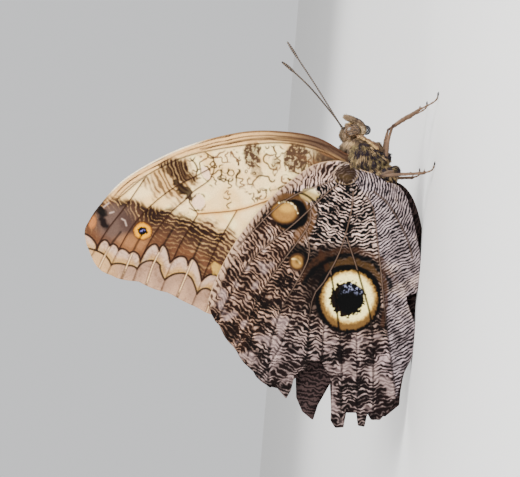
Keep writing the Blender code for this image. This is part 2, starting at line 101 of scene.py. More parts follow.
def cloud(x, z, size, seed, octaves=2):
    """Soft random light and dark, about size across, from -1 to 1."""
    total, weight = np.zeros(x.shape), 0.0
    for octave in range(octaves):
        table = np.random.default_rng(seed + octave).uniform(-1, 1, (128, 128))
        turn = 0.6 + 1.1 * octave
        u = (x * np.cos(turn) + z * np.sin(turn)) * 2 ** octave / size + 37.2
        v = (z * np.cos(turn) - x * np.sin(turn)) * 2 ** octave / size + 91.7
        iu, iv = np.floor(u).astype(int), np.floor(v).astype(int)
        fu, fv = rise(u - iu, 1), rise(v - iv, 1)
        corner = [[table[(iu + a) % 128, (iv + b) % 128] for b in (0, 1)] for a in (0, 1)]
        value = (corner[0][0] * (1 - fu) * (1 - fv) + corner[1][0] * fu * (1 - fv)
                 + corner[0][1] * (1 - fu) * fv + corner[1][1] * fu * fv)
        total += value * 0.55 ** octave
        weight += 0.55 ** octave
    return total / weight * 1.5


def rounded_line(points, step=0.6):
    """Points about a step apart on a rounded line through the given ones."""
    knots = np.array(points, float)
    knots = np.vstack([2 * knots[0] - knots[1], knots, 2 * knots[-1] - knots[-2]])
    path = []
    for before, start, end, after in zip(knots, knots[1:], knots[2:], knots[3:]):
        pieces = max(1, round(np.linalg.norm(end - start) / step))
        for t in np.arange(pieces) / pieces:
            path.append(0.5 * (2 * start + (end - before) * t
                               + (2 * before - 5 * start + 4 * end - after) * t ** 2
                               + (3 * start - before - 3 * end + after) * t ** 3))
    return np.array(path + [knots[-2]])


def ball(shape, centre, size, pitch=0, sides=32):
    """A round form, its length along the forward axis tipped up by pitch."""
    place = Matrix.Translation(centre) @ Matrix.Rotation(-pitch, 4, "Y") @ Matrix.Diagonal([*size, 1])
    bmesh.ops.create_uvsphere(shape, u_segments=sides, v_segments=sides // 2, radius=1, matrix=place)


def drawn(shape):
    """A drawn shape as a smooth mesh."""
    mesh = bpy.data.meshes.new("drawn")
    shape.to_mesh(mesh)
    shape.free()
    mesh.shade_smooth()
    return mesh


def in_scene(name, mesh):
    """A mesh as an object of the scene."""
    piece = bpy.data.objects.new(name, mesh)
    bpy.context.scene.collection.objects.link(piece)
    return piece


def applied(holder):
    """The mesh that an object's modifiers make, once the object itself is gone."""
    result = bpy.data.meshes.new_from_object(holder.evaluated_get(bpy.context.evaluated_depsgraph_get()))
    bpy.data.objects.remove(holder)
    return result


def new_piece(name, mesh, finish=None):
    """A finished mesh, drawn in millimetres, as an object of the scene in metres."""
    mesh.transform(Matrix.Scale(0.001, 4))
    mesh.update()
    if finish:
        mesh.materials.append(finish)
    return in_scene(name, mesh)


def fused(shape, voxel, rounds):
    """Melt overlapping closed forms into one even, softly rounded skin."""
    melt = in_scene("melt", drawn(shape))
    remesh = melt.modifiers.new("remesh", "REMESH")
    remesh.mode = "VOXEL"
    remesh.voxel_size = voxel
    smooth = melt.modifiers.new("smooth", "SMOOTH")
    smooth.factor = 0.5
    smooth.iterations = rounds
    result = applied(melt)
    result.shade_smooth()
    return result


def rows_of(points, what="co"):
    """The places of a mesh's points, or what else each of them holds, one row each."""
    values = np.empty(len(points) * 3, np.float32)
    points.foreach_get(what, values)
    return values.reshape(-1, 3).astype(float)


def painted(mesh, attribute, colours):
    """Give every point of a mesh its colour, and its alpha where that is given too."""
    rgba = np.ones((len(mesh.vertices), 4), np.float32)
    rgba[:, :np.shape(colours)[-1]] = colours
    mesh.color_attributes.new(attribute, "FLOAT_COLOR", "POINT").data.foreach_set("color", rgba.ravel())


def fill_in(target, *values, **named):
    """Give a node its own settings, then link or set its inputs, in their order or by name."""
    named = {key.replace("_", " ") if key[0].isupper() else key: value for key, value in named.items()}
    for key in [key for key in named if key[0].islower()]:
        setattr(target, key, named.pop(key))
    for key, value in [*enumerate(values), *named.items()]:
        if isinstance(value, bpy.types.NodeSocket):
            target.id_data.links.new(value, target.inputs[key])
        elif value is not None:
            target.inputs[key].default_value = value


def node(tree, kind, *values, out=0, **named):
    """One output of a new node that is filled in as given."""
    made = tree.nodes.new(kind if "Node" in kind else "ShaderNode" + kind)
    fill_in(made, *values, **named)
    return made.outputs[out]


def new_finish(name):
    """A new finish, the maker of its nodes, and the place that they read."""
    finish = bpy.data.materials.new(name)
    finish.use_nodes = True
    add = functools.partial(node, finish.node_tree)
    return finish, add, add("TexCoord", out="Object")


def surface(finish, colour, shades, grain, gloss, relief=None, **even):
    """Dress the shader: a shaded colour, gloss that follows the grain, and relief of a height, strength and depth."""
    add = functools.partial(node, finish.node_tree)
    if shades:
        shade = functools.reduce(lambda one, other: add("Math", one, other, operation="MULTIPLY"), shades)
        colour = add("VectorMath", colour, Scale=shade, operation="SCALE")
    if relief:
        even["Normal"] = add("Bump", Height=relief[0], Strength=relief[1], Distance=relief[2])
    fill_in(finish.node_tree.nodes["Principled BSDF"], colour, Roughness=add("MapRange", grain, 0, 1, *gloss), **even)
    return finish


def downy(name, roughness, grain, depth):
    """A matt, finely broken surface in painted colours, with the soft rim light of down."""
    finish, add, place = new_finish(name)
    flakes = add("TexNoise", Vector=place, Scale=grain, Detail=4, Roughness=0.7)
    return surface(finish, add("Attribute", attribute_name="scales"), [add("MapRange", flakes, 0.25, 0.75, 0.7, 1.3)],
                   flakes, (roughness - 0.1, roughness + 0.1), (flakes, 0.5, depth),
                   Specular_IOR_Level=0.2, Sheen_Weight=0.08)


body_shape = bmesh.new()
for centre, size, pitch in TRUNK_FORMS:
    ball(body_shape, centre, [half - COAT_DEPTH for half in size], pitch)
for (x, y, z), size, pitch in PAIRED_FORMS:
    for side in (-1, 1):
        ball(body_shape, (x, side * y, z), [half - COAT_DEPTH * 0.6 for half in size], pitch, 16)
axis = ABDOMEN_TIP - ABDOMEN_START
aim = axis.to_track_quat("Z", "Y").to_matrix()
rings = []
for row in range(RING_ROWS + 1):
    share = row / RING_ROWS
    taper = math.sin(math.pi * min(1, 0.16 + 0.84 * share) ** 0.8) ** 0.55
    swell = 1 - RING_SWELL + RING_SWELL * abs(math.sin(math.pi * ABDOMEN_RINGS * share))
    radius = max(0.05, (ABDOMEN_RADIUS - COAT_DEPTH) * taper * swell)
    turns = [math.tau * step / RING_SIDES for step in range(RING_SIDES)]
    spokes = [Vector((radius * math.cos(turn), radius * math.sin(turn), 0)) for turn in turns]
    ring = [body_shape.verts.new(ABDOMEN_START + axis * share + aim @ spoke) for spoke in spokes]
    for step in range(RING_SIDES if rings else 0):
        after = (step + 1) % RING_SIDES
        body_shape.faces.new((rings[-1][step], rings[-1][after], ring[after], ring[step]))
    rings.append(ring)
body_shape.faces.new(rings[0][::-1])
body_shape.faces.new(rings[-1])
body_mesh = fused(body_shape, SKIN_VOXEL, 6)

skin_places = rows_of(body_mesh.vertices)
plate_centres = []
for spot in np.random.default_rng(205).permutation(skin_places)[:PLATE_TRIALS]:
    if all(np.linalg.norm(spot - other) > PLATE_SPACING for other in plate_centres):
        plate_centres.append(spot)
plate_centres = np.array(plate_centres)


def coat_colours(x, y, z):
    """Cream and olive hair netted round dark violet plates on the chest, browner on head and belly."""
    warp = 0.5 * cloud(x + 0.7 * y, z - 0.5 * y, 1.4, 201, 1)
    fleck = cloud(x - y, z + y, 0.7, 203, 2)[:, None]
    olive = rise(cloud(x - 0.6 * y, z + 0.8 * y, 2.2, 207), -0.2, 0.6)
    spots = np.stack([x + warp, y, z - warp], axis=1)
    gaps = np.linalg.norm(spots[:, None, :] - plate_centres[None, :, :], axis=2)
    first, second = np.partition(gaps, 1, axis=1)[:, :2].T
    colour = paint(tone(214, 196, 170), (176, 162, 130), olive) * (1 + 0.3 * fleck)
    plates = rise(second - first + 0.3 * fleck[:, 0], 0.12, 0.45)
    colour = paint(colour, tone(94, 80, 90) * (1 + 0.4 * fleck), plates)
    head = rise(x - 0.25 * (z - 20), 25.4, 26.6)
    colour = paint(colour, tone(164, 146, 126) * (1 + 0.7 * fleck), head)
    tail = rise(15.5 - x, 3)
    return np.clip(paint(colour, tone(160, 138, 112) * (1 + 0.3 * fleck), tail), 0, 1)


# the skin under the coat takes the coat's colours darkened to 0.7: painted shade deep under the hair
painted(body_mesh, "scales", coat_colours(*skin_places.T) * 0.7)
body = new_piece("body_skin", body_mesh, downy("body_skin", 0.8, 3000, 0.0001))
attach(body, "root")
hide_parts("head", "thorax", "abdomen")


# EYES
# Two bulging domes of tiny hexagonal lenses, brown with paler upright stripes,
# glossy, each set in a shallow socket at the side of the head.
EYE_CENTRE = (28.5, 2.15, 21.2)
EYE_SIZE = (1.9, 1.35, 2.1)


def two_tone(add, source, *stops):
    """A colour that runs from one stop to the next as the source rises."""
    blend = add("ValToRGB", source)
    for element, (share, colour) in zip(blend.node.color_ramp.elements, stops):
        element.position, element.color = share, (*colour, 1)
    return blend


eye_lenses, add, place = new_finish("eye_lenses")
waver = add("TexNoise", Vector=place, Scale=700, Detail=2)
stripes = add("TexWave", Vector=place, Scale=760, Distortion=9, Detail_Scale=2, bands_direction="X", out="Fac")
lenses = add("TexVoronoi", Vector=place, Scale=11000)
surface(eye_lenses, two_tone(add, stripes, (0.4, tone(82, 66, 52)), (0.95, tone(164, 140, 112))), [],
        waver, (0.22, 0.38), (lenses, 0.3, 0.00003),
        Coat_Weight=0.12, Coat_Roughness=0.12, Specular_IOR_Level=0.3)
for side_name, side in SIDES.items():
    shape = bmesh.new()
    ball(shape, (EYE_CENTRE[0], side * EYE_CENTRE[1], EYE_CENTRE[2]), EYE_SIZE, HEAD_PITCH, 64)
    piece = new_piece(f"eye_dome_{side_name}", drawn(shape), eye_lenses)
    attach(piece, "root")
    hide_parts(f"eye_{side_name}")


# ANTENNAE
# Fine jointed feelers of brown horn, each joint ringed with pale scales at its root,
# thickening into a slender club at the tip.
ANTENNAE = {
    "left": [(28.9, 0.9, 23.6), (35.9, 2.6, 28.6), (41.8, 4.8, 32.8), (47.4, 7.4, 36.9), (52.4, 9.2, 40.5)],
    "right": [(28.9, -0.9, 23.6), (33, -4, 27.6), (38.3, -9, 33.5), (42.2, -14.6, 39.2), (43.6, -17, 41.7)],
}
ANTENNA_JOINT = 0.62
SHAFT_RADIUS = 0.22
CLUB_RADIUS = 0.4
CLUB_SHARE = 0.2


def limb(shape, path, given, sides=14):
    """A closed round limb along a path, its radius changing evenly through the given ones."""
    along_layer = shape.verts.layers.float.get("along") or shape.verts.layers.float.new("along")
    radii = np.interp(np.linspace(0, 1, len(path)), np.linspace(0, 1, len(given)), given)
    path = [Vector(spot) for spot in path]
    across = Vector((0.31, 0.77, 0.55))
    rings = []
    run = 0.0
    for index, place in enumerate(path):
        ahead = (path[min(index + 1, len(path) - 1)] - path[max(index - 1, 0)]).normalized()
        across = (across - ahead * across.dot(ahead)).normalized()
        beside = ahead.cross(across)
        run += (place - path[index - 1]).length if index else 0.0
        ring = []
        for step in range(sides):
            turn = math.tau * step / sides
            spoke = (across * math.cos(turn) + beside * math.sin(turn)) * radii[index]
            ring.append(shape.verts.new(place + spoke))
            ring[-1][along_layer] = run
        for step in range(sides if rings else 0):
            shape.faces.new((rings[-1][step - 1], rings[-1][step], ring[step], ring[step - 1]))
        rings.append(ring)
    for ring, place, outward in ((rings[0], path[0], -1), (rings[-1], path[-1], 1)):
        tip = shape.verts.new(place)
        tip[along_layer] = ring[0][along_layer]
        for step in range(sides):
            shape.faces.new((ring[step - 1], ring[step], tip)[::outward])


def ringed_horn(name, dark, pale, spacing, share):
    """Brown horn with a pale scaly ring at the root of every joint, marked along the piece."""
    finish, add, place = new_finish(name)
    joint = add("Math", add("Attribute", attribute_name="along", out="Fac"), spacing, operation="DIVIDE")
    edge = add("MapRange", add("Math", joint, operation="FRACT"), share, share + 0.12)
    flakes = add("TexNoise", Vector=place, Scale=4000, Detail=3)
    blend = add("Mix", edge, *[None] * 5, (*pale, 1), (*dark, 1), data_type="RGBA", out=2)
    shades = [add("MapRange", flakes, 0, 1, 0.6, 1.4)]
    return surface(finish, blend, shades, flakes, (0.4, 0.65), (flakes, 0.4, 0.00004))


antenna_horn = ringed_horn("antenna_horn", tone(76, 58, 50), tone(176, 158, 138), ANTENNA_JOINT, 0.14)
for side_name, route in ANTENNAE.items():
    path = rounded_line(route, ANTENNA_JOINT / 6)
    share = np.linspace(0, 1, len(path))
    club = np.clip((share - 1 + CLUB_SHARE) / CLUB_SHARE, 0, 1)
    radii = SHAFT_RADIUS + (CLUB_RADIUS - SHAFT_RADIUS) * np.sin(np.pi * np.minimum(club, 0.97) ** 0.8)
    radii *= 1 - 0.14 * np.cos(2 * np.pi * np.arange(len(path)) / 6) * (share < 0.97)
    radii += 0.2 * np.exp(-share / 0.025)
    radii[-3:] *= [0.85, 0.6, 0.3]
    shape = bmesh.new()
    limb(shape, path, radii, 12)
    piece = new_piece(f"feeler_{side_name}", drawn(shape), antenna_horn)
    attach(piece, "root")
    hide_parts(f"antenna_{side_name}")


# PALPS AND PROBOSCIS
# Two upturned palps thick with scales stand before the face, and between them lies
# the coiled drinking tube, ringed all along so that it can roll up.
PALP = [(27.6, 1.1, 19.2), (28.2, 1.3, 18), (29.9, 1.4, 18.3), (31.2, 1.4, 20), (32, 1.3, 21.8), (32.5, 1, 23.5)]
PALP_RADII = [0.3, 0.45, 0.62, 0.6, 0.42, 0.3, 0.1]
TONGUE_CENTRE = (29, 17.4)
TONGUE_COIL = (1.35, 0.1)
TONGUE_TURNS = 2.6
TONGUE_STEPS = 180
TONGUE_RADIUS = 0.25

palp_skin = downy("palp_skin", 0.75, 3500, 0.00008)
palp_cores = {}
for side_name, side in SIDES.items():
    shape = bmesh.new()
    limb(shape, rounded_line([(x, side * y, z) for x, y, z in PALP], 0.2), PALP_RADII, 16)
    mesh = drawn(shape)
    x, y, z = rows_of(mesh.vertices).T
    painted(mesh, "scales", paint(tone(180, 158, 128), (132, 108, 86), rise(x - 0.35 * (z - 18), 28.6, 30.2)))
    palp_cores[side_name] = mesh.copy()
    piece = new_piece(f"palp_core_{side_name}", mesh, palp_skin)
    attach(piece, "root")
    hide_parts(f"palp_{side_name}")

tongue_path = [(TONGUE_CENTRE[0] - 0.2, 0, TONGUE_CENTRE[1] + TONGUE_COIL[0] + 0.7)]
for share in np.arange(TONGUE_STEPS + 1) / TONGUE_STEPS:
    angle = math.radians(95) - math.tau * TONGUE_TURNS * share
    radius = TONGUE_COIL[0] + (TONGUE_COIL[1] - TONGUE_COIL[0]) * share
    tongue_path.append((TONGUE_CENTRE[0] + radius * math.cos(angle), 0, TONGUE_CENTRE[1] + radius * math.sin(angle)))
step = np.arange(len(tongue_path))
shape = bmesh.new()
limb(shape, tongue_path, TONGUE_RADIUS * (1 - 0.2 * step / step[-1]) * (0.95 + 0.05 * (step % 3)))
proboscis_skin = ringed_horn("proboscis_skin", tone(48, 46, 62), tone(110, 104, 120), 0.14, 0.3)
piece = new_piece("proboscis_coil", drawn(shape), proboscis_skin)
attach(piece, "root")
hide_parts("proboscis")


# LEGS
# Four walking legs of thigh, shin and a five-jointed foot with spurs and paired claws,
# and the small folded brush legs in front, all under flat pale brown scales.
LEGS = {
    "foreleg": [(24, 2.4, 13.6), (24.9, 3.1, 14.9), (26.2, 3.2, 17.2), (26.9, 3, 19.3)],
    "midleg": [(21.6, 2.4, 11.4), (30.2, 7.2, 10.9), (34.6, 10.2, 4.8), (37.2, 12, 0.8), (39.1, 13.1, 0.2)],
    "hindleg": [(18.5, 2.8, 9.2), (16.7, 8.7, 13), (18, 14.2, 2.6), (18.9, 16.2, 0.6), (20.6, 18.2, 0.2)],
}
FORELEG_RADII = [0.45, 0.42, 0.36, 0.16]
THIGH_RADII = [0.38, 0.54, 0.5, 0.38, 0.32]
SHIN_RADII = [0.32, 0.43, 0.4, 0.36, 0.4]
FOOT_JOINTS = np.linspace(0.3, 0.23, 5)
FOOT_WAISTS = (0.72, 0.95, 1)
SEGMENT_SAG = 0.5
SPUR_LENGTH = 1.5
SPUR_RADII = [0.2, 0.05]
CLAW_LENGTH = 0.8
CLAW_RADII = [0.2, 0.09]
LEG_VOXEL = 0.1


def unit(direction):
    """A direction made one long."""
    return direction / np.linalg.norm(direction)


def walking_leg(hip, knee, ankle, heel, toe):
    """Thigh, shin, foot, spurs and claws of one leg, melted together and coloured."""
    shape = bmesh.new()
    for start, end, sag, given in ((hip, knee, SEGMENT_SAG, THIGH_RADII), (knee, ankle, SEGMENT_SAG / 2, SHIN_RADII)):
        limb(shape, rounded_line([start, (start + end) / 2 + (0, 0, sag), end], 0.3), given, 16)
    limb(shape, rounded_line([ankle, heel, toe], 0.12), np.outer(FOOT_JOINTS, FOOT_WAISTS).ravel(), 12)
    toward_toe = unit(toe - heel)
    across = np.array((-toward_toe[1], toward_toe[0], 0))
    for spread in (-0.5, 0.5):
        aim = unit(unit(heel - ankle) + (0.4, 0, 0.4) + across * spread)
        limb(shape, ankle + np.outer(np.linspace(0, SPUR_LENGTH, 6), aim), SPUR_RADII, 8)
        claw = np.outer(np.linspace(0, CLAW_LENGTH, 6), unit(toward_toe + across * spread)) + toe - toward_toe * 0.3
        claw[:, 2] += 0.12 * np.sin(np.linspace(0, np.pi, 6))
        limb(shape, claw, CLAW_RADII, 8)
    mesh = fused(shape, LEG_VOXEL, 3)
    spots = rows_of(mesh.vertices)
    spots[:, 2] = np.maximum(spots[:, 2], 0)
    mesh.vertices.foreach_set("co", spots.astype(np.float32).ravel())
    colour = tone(150, 128, 108) * (1 + 0.35 * cloud(spots[:, 0] + spots[:, 1], spots[:, 2], 0.8, 301)[:, None])
    colour = paint(colour, (104, 80, 66), rise(1.6 - np.linalg.norm(spots - knee, axis=1), 1.4))
    painted(mesh, "scales", paint(colour, (60, 42, 36), rise(0.9 - np.linalg.norm(spots - toe, axis=1), 0.5)))
    return mesh


leg_skin = downy("leg_skin", 0.7, 3200, 0.00008)
leg_lines = {}
coat_sources = {}
for side_name, side in SIDES.items():
    for leg_name, joints in LEGS.items():
        line = np.array([(x, side * y, z) for x, y, z in joints])
        if leg_name == "foreleg":
            line = rounded_line(line, 0.25)
            shape = bmesh.new()
            limb(shape, line, FORELEG_RADII)
            mesh = drawn(shape)
            painted(mesh, "scales", tone(140, 114, 88))
        else:
            mesh = walking_leg(*line)
        leg_lines[leg_name, side_name] = line
        coat_sources[leg_name, side_name] = mesh.copy()
        piece = new_piece(f"{leg_name}_limb_{side_name}", mesh, leg_skin)
        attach(piece, "root")
        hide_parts(f"{leg_name}_{side_name}")


# FOREWINGS
# A thin dry membrane on a fan of hollow veins, roofed with dust-like scales that
# carry the pattern. The pair stands closed over the back, inner faces together.
FOREWING_COSTA = [(20.6, 17.6), (22.4, 22.6), (25.9, 30), (26.9, 39), (25.7, 51.2), (20.2, 66.5),
                  (11.3, 80.4), (2.6, 87.6), (-2.6, 90.4)]
FOREWING_TERMEN = [(-2.6, 90.4), (-5, 90.8), (-11.1, 88.6), (-15.6, 83.9), (-17.2, 75.2), (-20.3, 64.5),
                   (-23.4, 57), (-24.6, 50.9)]
FOREWING_DORSUM = [(-24.6, 50.9), (-5.2, 33), (8.5, 24), (14.6, 20.2), (17.8, 16.4)]
FOREWING_LOBES = 6
FOREWING_LOBE_DEPTH = 0.5
FOREWING_VEINS = {
    "subcosta": [(21.6, 22.5), (24.4, 29), (25.1, 37.7), (24.1, 48.4), (20.3, 61.6)],
    "radius": [(20, 23), (22.7, 30.5), (23.6, 42), (19.3, 61.6), (13, 74), (5.1, 82.6)],
    "radius_5": [(12, 75.3), (3.5, 80.2), (-3.8, 84.9), (-11.6, 88.8)],
    "media_1": [(19.6, 60.4), (16.4, 57.3), (8.1, 69.3), (-1.9, 78), (-16, 84.2)],
    "cell_end": [(16.4, 57.3), (12.4, 58.2), (7.2, 63.6), (2.8, 60.7)],
    "media_2": [(7.2, 63.6), (1.6, 68.8), (-6.9, 73.6), (-18.8, 77.4)],
    "media_3": [(2.8, 60.7), (-6.9, 65.3), (-20.6, 69.6)],
    "cubitus": [(17.4, 21.8), (12.5, 31.2), (7.8, 42.5), (4.7, 50.3), (2.8, 60.7)],
    "cubitus_2": [(4.7, 50.3), (-6.8, 55.5), (-24, 61)],
}
FOREWING_FOLDS = [
    [(-3.8, 81.1), (-8.3, 83.9), (-15.9, 86.9)],
    [(-4.1, 75.4), (-8.9, 77.4), (-18, 80.4)],
    [(0.5, 66), (-5.7, 69), (-11.9, 71.7), (-19.8, 73.6)],
    [(-1.6, 58.5), (-8.9, 60.9), (-22.4, 65.3)],
    [(-12.6, 53), (-17.3, 54.5), (-24.8, 56.6)],
]
FOREWING_LEVEL = 0.7
HINDWING_LEVEL = 1.8
SHEET_THICKNESS = 0.26
SHEET_SPACING = 0.215
BODY_LINE = [(-7.5, 6.4), (14.6, 11.4), (27, 21.5)]
SWELL = 3.0
SWELL_REACH = 5.0
HINDWING_ROOT = (16.3, 15.8)
ROOT_PULL = 1.4
ROOT_REACH = 3.0
INNER_SPACING = 1.8
INNER_MARGIN = 0.8
ROW_SHARE = 0.866


def lobed(points, lobes, depth, step=1.6):
    """A rounded margin that dips between its lobes by the given depth."""
    path = rounded_line(points, step)
    last = len(path) - 1
    share = np.arange(1, last) / last
    along = path[2:] - path[:-2]
    along /= np.linalg.norm(along, axis=1)[:, None]
    inward = np.stack([along[:, 1], -along[:, 0]], axis=1)
    dip = depth * (1 - np.abs(np.sin(np.pi * lobes * share)))
    fade = np.minimum(1, np.minimum(4 * share, 4 * (1 - share)))
    path[1:-1] -= inward * (dip * fade)[:, None]
    return path


def distance_to(x, z, line):
    """Distance from each place to a line, positive on the left of its direction."""
    best = np.full(x.shape, np.inf)
    squareness = np.zeros(x.shape)
    side = np.ones(x.shape)
    for (ax, az), (bx, bz) in zip(line, line[1:]):
        rx, rz = bx - ax, bz - az
        px, pz = x - ax, z - az
        share = np.clip((px * rx + pz * rz) / (rx * rx + rz * rz), 0, 1)
        gap = np.hypot(px - share * rx, pz - share * rz)
        across = (rx * pz - rz * px) / np.hypot(rx, rz)
        nearer = (gap < best - 1e-7) | ((gap < best + 1e-7) & (np.abs(across) > squareness))
        best = np.where(nearer, gap, best)
        side = np.where(nearer, np.sign(across), side)
        squareness = np.where(nearer, np.abs(across), squareness)
    return best * side


def nearest(x, z, lines):
    """Distance from each place to the nearest of several lines."""
    return np.min([np.abs(distance_to(x, z, line)) for line in lines], axis=0)


def swell_at(x, z):
    """How far the closed wings stand out around the body."""
    around = SWELL * np.exp(-(distance_to(x, z, BODY_LINE) / SWELL_REACH) ** 2)
    root = np.hypot(x - HINDWING_ROOT[0], z - HINDWING_ROOT[1])
    return around - ROOT_PULL * np.exp(-(root / ROOT_REACH) ** 2)


def inside(x, z, outline):
    """Which places lie within a closed outline."""
    within = np.zeros(x.shape, bool)
    for (ax, az), (bx, bz) in zip(outline, np.roll(outline, -1, axis=0)):
        if az != bz:
            within ^= ((az > z) != (bz > z)) & (x < ax + (z - az) / (bz - az) * (bx - ax))
    return within


def even_triangles(outline, spacing):
    """Even triangles that fill an outline, their rim drawn onto it, and the loop of rim corners."""
    low, high = outline.min(axis=0) - spacing, outline.max(axis=0) + spacing
    row_gap = spacing * ROW_SHARE
    rows = int((high[1] - low[1]) / row_gap) + 2
    columns = int((high[0] - low[0]) / spacing) + 2
    row, column = np.mgrid[0:rows, 0:columns]
    x = (low[0] + (column + 0.5 * (row % 2)) * spacing).ravel()
    z = (low[1] + row * row_gap).ravel()
    within = inside(x, z, outline)
    at = (row * columns + column)[:-1, :-1].ravel()
    above = at + columns
    odd = row[:-1, :-1].ravel() % 2
    faces = np.hstack([[at, at + 1, above + odd], [at + 1 - odd, above + 1, above]]).T
    faces = faces[within[faces].all(axis=1)]
    while True:
        pairs = np.vstack([faces[:, [0, 1]], faces[:, [1, 2]], faces[:, [2, 0]]])
        codes = pairs[:, 0] * x.size + pairs[:, 1]
        rim = pairs[~np.isin(codes, pairs[:, 1] * x.size + pairs[:, 0])]
        places, counts = np.unique(rim[:, 0], return_counts=True)
        pinched = places[counts > 1]
        if not pinched.size:
            break
        faces = faces[~np.isin(faces, pinched).any(axis=1)]
    follows = dict(rim.tolist())
    first, here = follows.popitem()
    loop = [first]
    while here != first:
        loop.append(here)
        here = follows.pop(here)
    loop = np.array(loop)
    rim_spots = np.stack([x[loop], z[loop]], axis=1)
    target = rim_spots.copy()
    best = np.full(loop.size, np.inf)
    for start, end in zip(outline, np.roll(outline, -1, axis=0)):
        run = end - start
        share = np.clip((rim_spots - start) @ run / max(run @ run, 1e-9), 0, 1)
        spots = start + share[:, None] * run
        gap = np.linalg.norm(rim_spots - spots, axis=1)
        target[gap < best] = spots[gap < best]
        best = np.minimum(best, gap)
    x[loop], z[loop] = target.T
    used, faces = np.unique(faces, return_inverse=True)
    return x[used], z[used], faces.reshape(-1, 3), np.searchsorted(used, loop)


def vein_relief(x, z, veins, folds):
    """Round ridges at the veins, creases at the folds and a soft billow between them."""
    vein = nearest(x, z, [rounded_line(line, 2) for line in veins])
    fold = nearest(x, z, [rounded_line(line, 2.5) for line in folds])
    ridge = 0.2 * np.sqrt(np.clip(1 - (vein / 0.34) ** 2, 0, 1)) + 0.06 * rise(1.4 - vein, 1.4)
    crease = 0.14 * rise(0.8 - fold, 0.8)
    return ridge - crease + 0.12 * cloud(x, z, 9, 7, 1)


def wing_mesh(outline, level, side, veins, folds, paint_scales):
    """A closed sheet: a fine painted outer face, a plain inner face and a thin rim."""
    x, z, faces, rim = even_triangles(outline, SHEET_SPACING)
    inner_places = [Vector((x[corner], z[corner])) for corner in rim]
    low, high = outline.min(axis=0), outline.max(axis=0)
    spots = np.mgrid[low[0]:high[0]:INNER_SPACING, low[1]:high[1]:INNER_SPACING].reshape(2, -1)
    clear = inside(*spots, outline) & (np.abs(distance_to(*spots, np.vstack([outline, outline[:1]]))) > INNER_MARGIN)
    inner_places += [Vector(spot) for spot in spots[:, clear].T]
    flat, _, inner_faces, origins, *_ = delaunay_2d_cdt(inner_places, [], [list(range(len(rim)))], 1, 1e-5)
    at = {start: x.size + index for index, starts in enumerate(origins) for start in starts}
    inner_x, inner_z = np.array(flat).T
    out = level + swell_at(x, z) + vein_relief(x, z, veins, folds)
    inner_out = level - SHEET_THICKNESS + swell_at(inner_x, inner_z)
    points = np.hstack([[x, side * out, z], [inner_x, side * inner_out, inner_z]]).T
    polygons = faces[:, ::-side].tolist()
    polygons += [[x.size + corner for corner in corners][::side] for corners in inner_faces]
    for index, here in enumerate(rim):
        after = (index + 1) % len(rim)
        polygons.append([here, at[index], at[after], rim[after]][::-side])
    mesh = bpy.data.meshes.new("wing")
    mesh.from_pydata(points.tolist(), [], polygons)
    mesh.validate()
    mesh.shade_smooth()
    tones = np.zeros((len(points), 4))
    tones[:x.size] = np.insert(paint_scales(x, z), 3, 1, axis=1)
    painted(mesh, "scales", tones)
    return mesh


def disc(x, z, centre, radii, turn=0):
    """Distance from a centre in shares of an oval's radii: 1 on its rim."""
    dx, dz = x - centre[0], z - centre[1]
    c, s = np.cos(turn), np.sin(turn)
    return np.hypot((dx * c + dz * s) / radii[0], (dz * c - dx * s) / radii[1])


def squiggles(x, z, size, seed, level, width):
    """Thin wandering lines of even width, where soft noise crosses a level."""
    value = cloud(x, z, size, seed)
    slope = np.hypot(cloud(x + 0.05, z, size, seed) - value, cloud(x, z + 0.05, size, seed) - value) / 0.05
    return rise(width - np.abs(value - level) / np.maximum(slope, 0.12), -0.06, 0.1)


def brushes(x, z):
    """The marks of the painter at these places: soft noise, ovals, and distances to lines."""
    return [functools.partial(mark, x, z) for mark in (cloud, disc, distance_to, nearest)]


def arches(points):
    """Arcs from cusp to cusp, each through the point between them."""
    path = [np.array(points[0], float)]
    for start, middle, end in zip(points[::2], points[1::2], points[2::2]):
        start, middle, end = (np.array(p, float) for p in (start, middle, end))
        bulge = middle - (start + end) / 2
        for t in np.linspace(0, 1, 9)[1:]:
            path.append(start + (end - start) * t + bulge * (1 - abs(2 * t - 1) ** 2.4))
    return np.array(path)


FOREWING_BAND_EDGE = [(-3.4, 47), (-0.7, 54), (0.8, 58.7), (2.7, 65.6), (3.6, 71.1), (4.5, 76.6), (5, 79.9),
                      (4.1, 84.5), (3.2, 88)]
FOREWING_INNER_ROW = [(-5, 92), (-6.2, 88.6), (-9.3, 87.1), (-6.4, 85.5), (-7.8, 83.7), (-7.3, 82.4), (-8.8, 81.2),
                      (-8.3, 80), (-9.4, 78.3), (-9, 76.4), (-11.3, 75.2), (-6.6, 72.4), (-8.1, 70.3), (-6.7, 68.9),
                      (-11, 67.2), (-9, 64), (-11.3, 62.3), (-9.8, 60.5), (-15.2, 58.3), (-13.2, 55.4),
                      (-15, 53.4), (-14, 51), (-17, 46)]
FOREWING_OUTER_ROW = [(-9.3, 92), (-9.6, 86.4), (-12.9, 82.9), (-12.3, 81), (-12.7, 78.6), (-12.7, 77),
                      (-13.4, 75.9), (-10.9, 73), (-11.8, 69.8), (-13.6, 69.4), (-15.7, 68.2), (-13.6, 64.6),
                      (-14.4, 61.4), (-15.8, 60.4), (-18.8, 59.2), (-17.1, 57.2), (-18.1, 55.1), (-18.2, 52),
                      (-21, 46)]


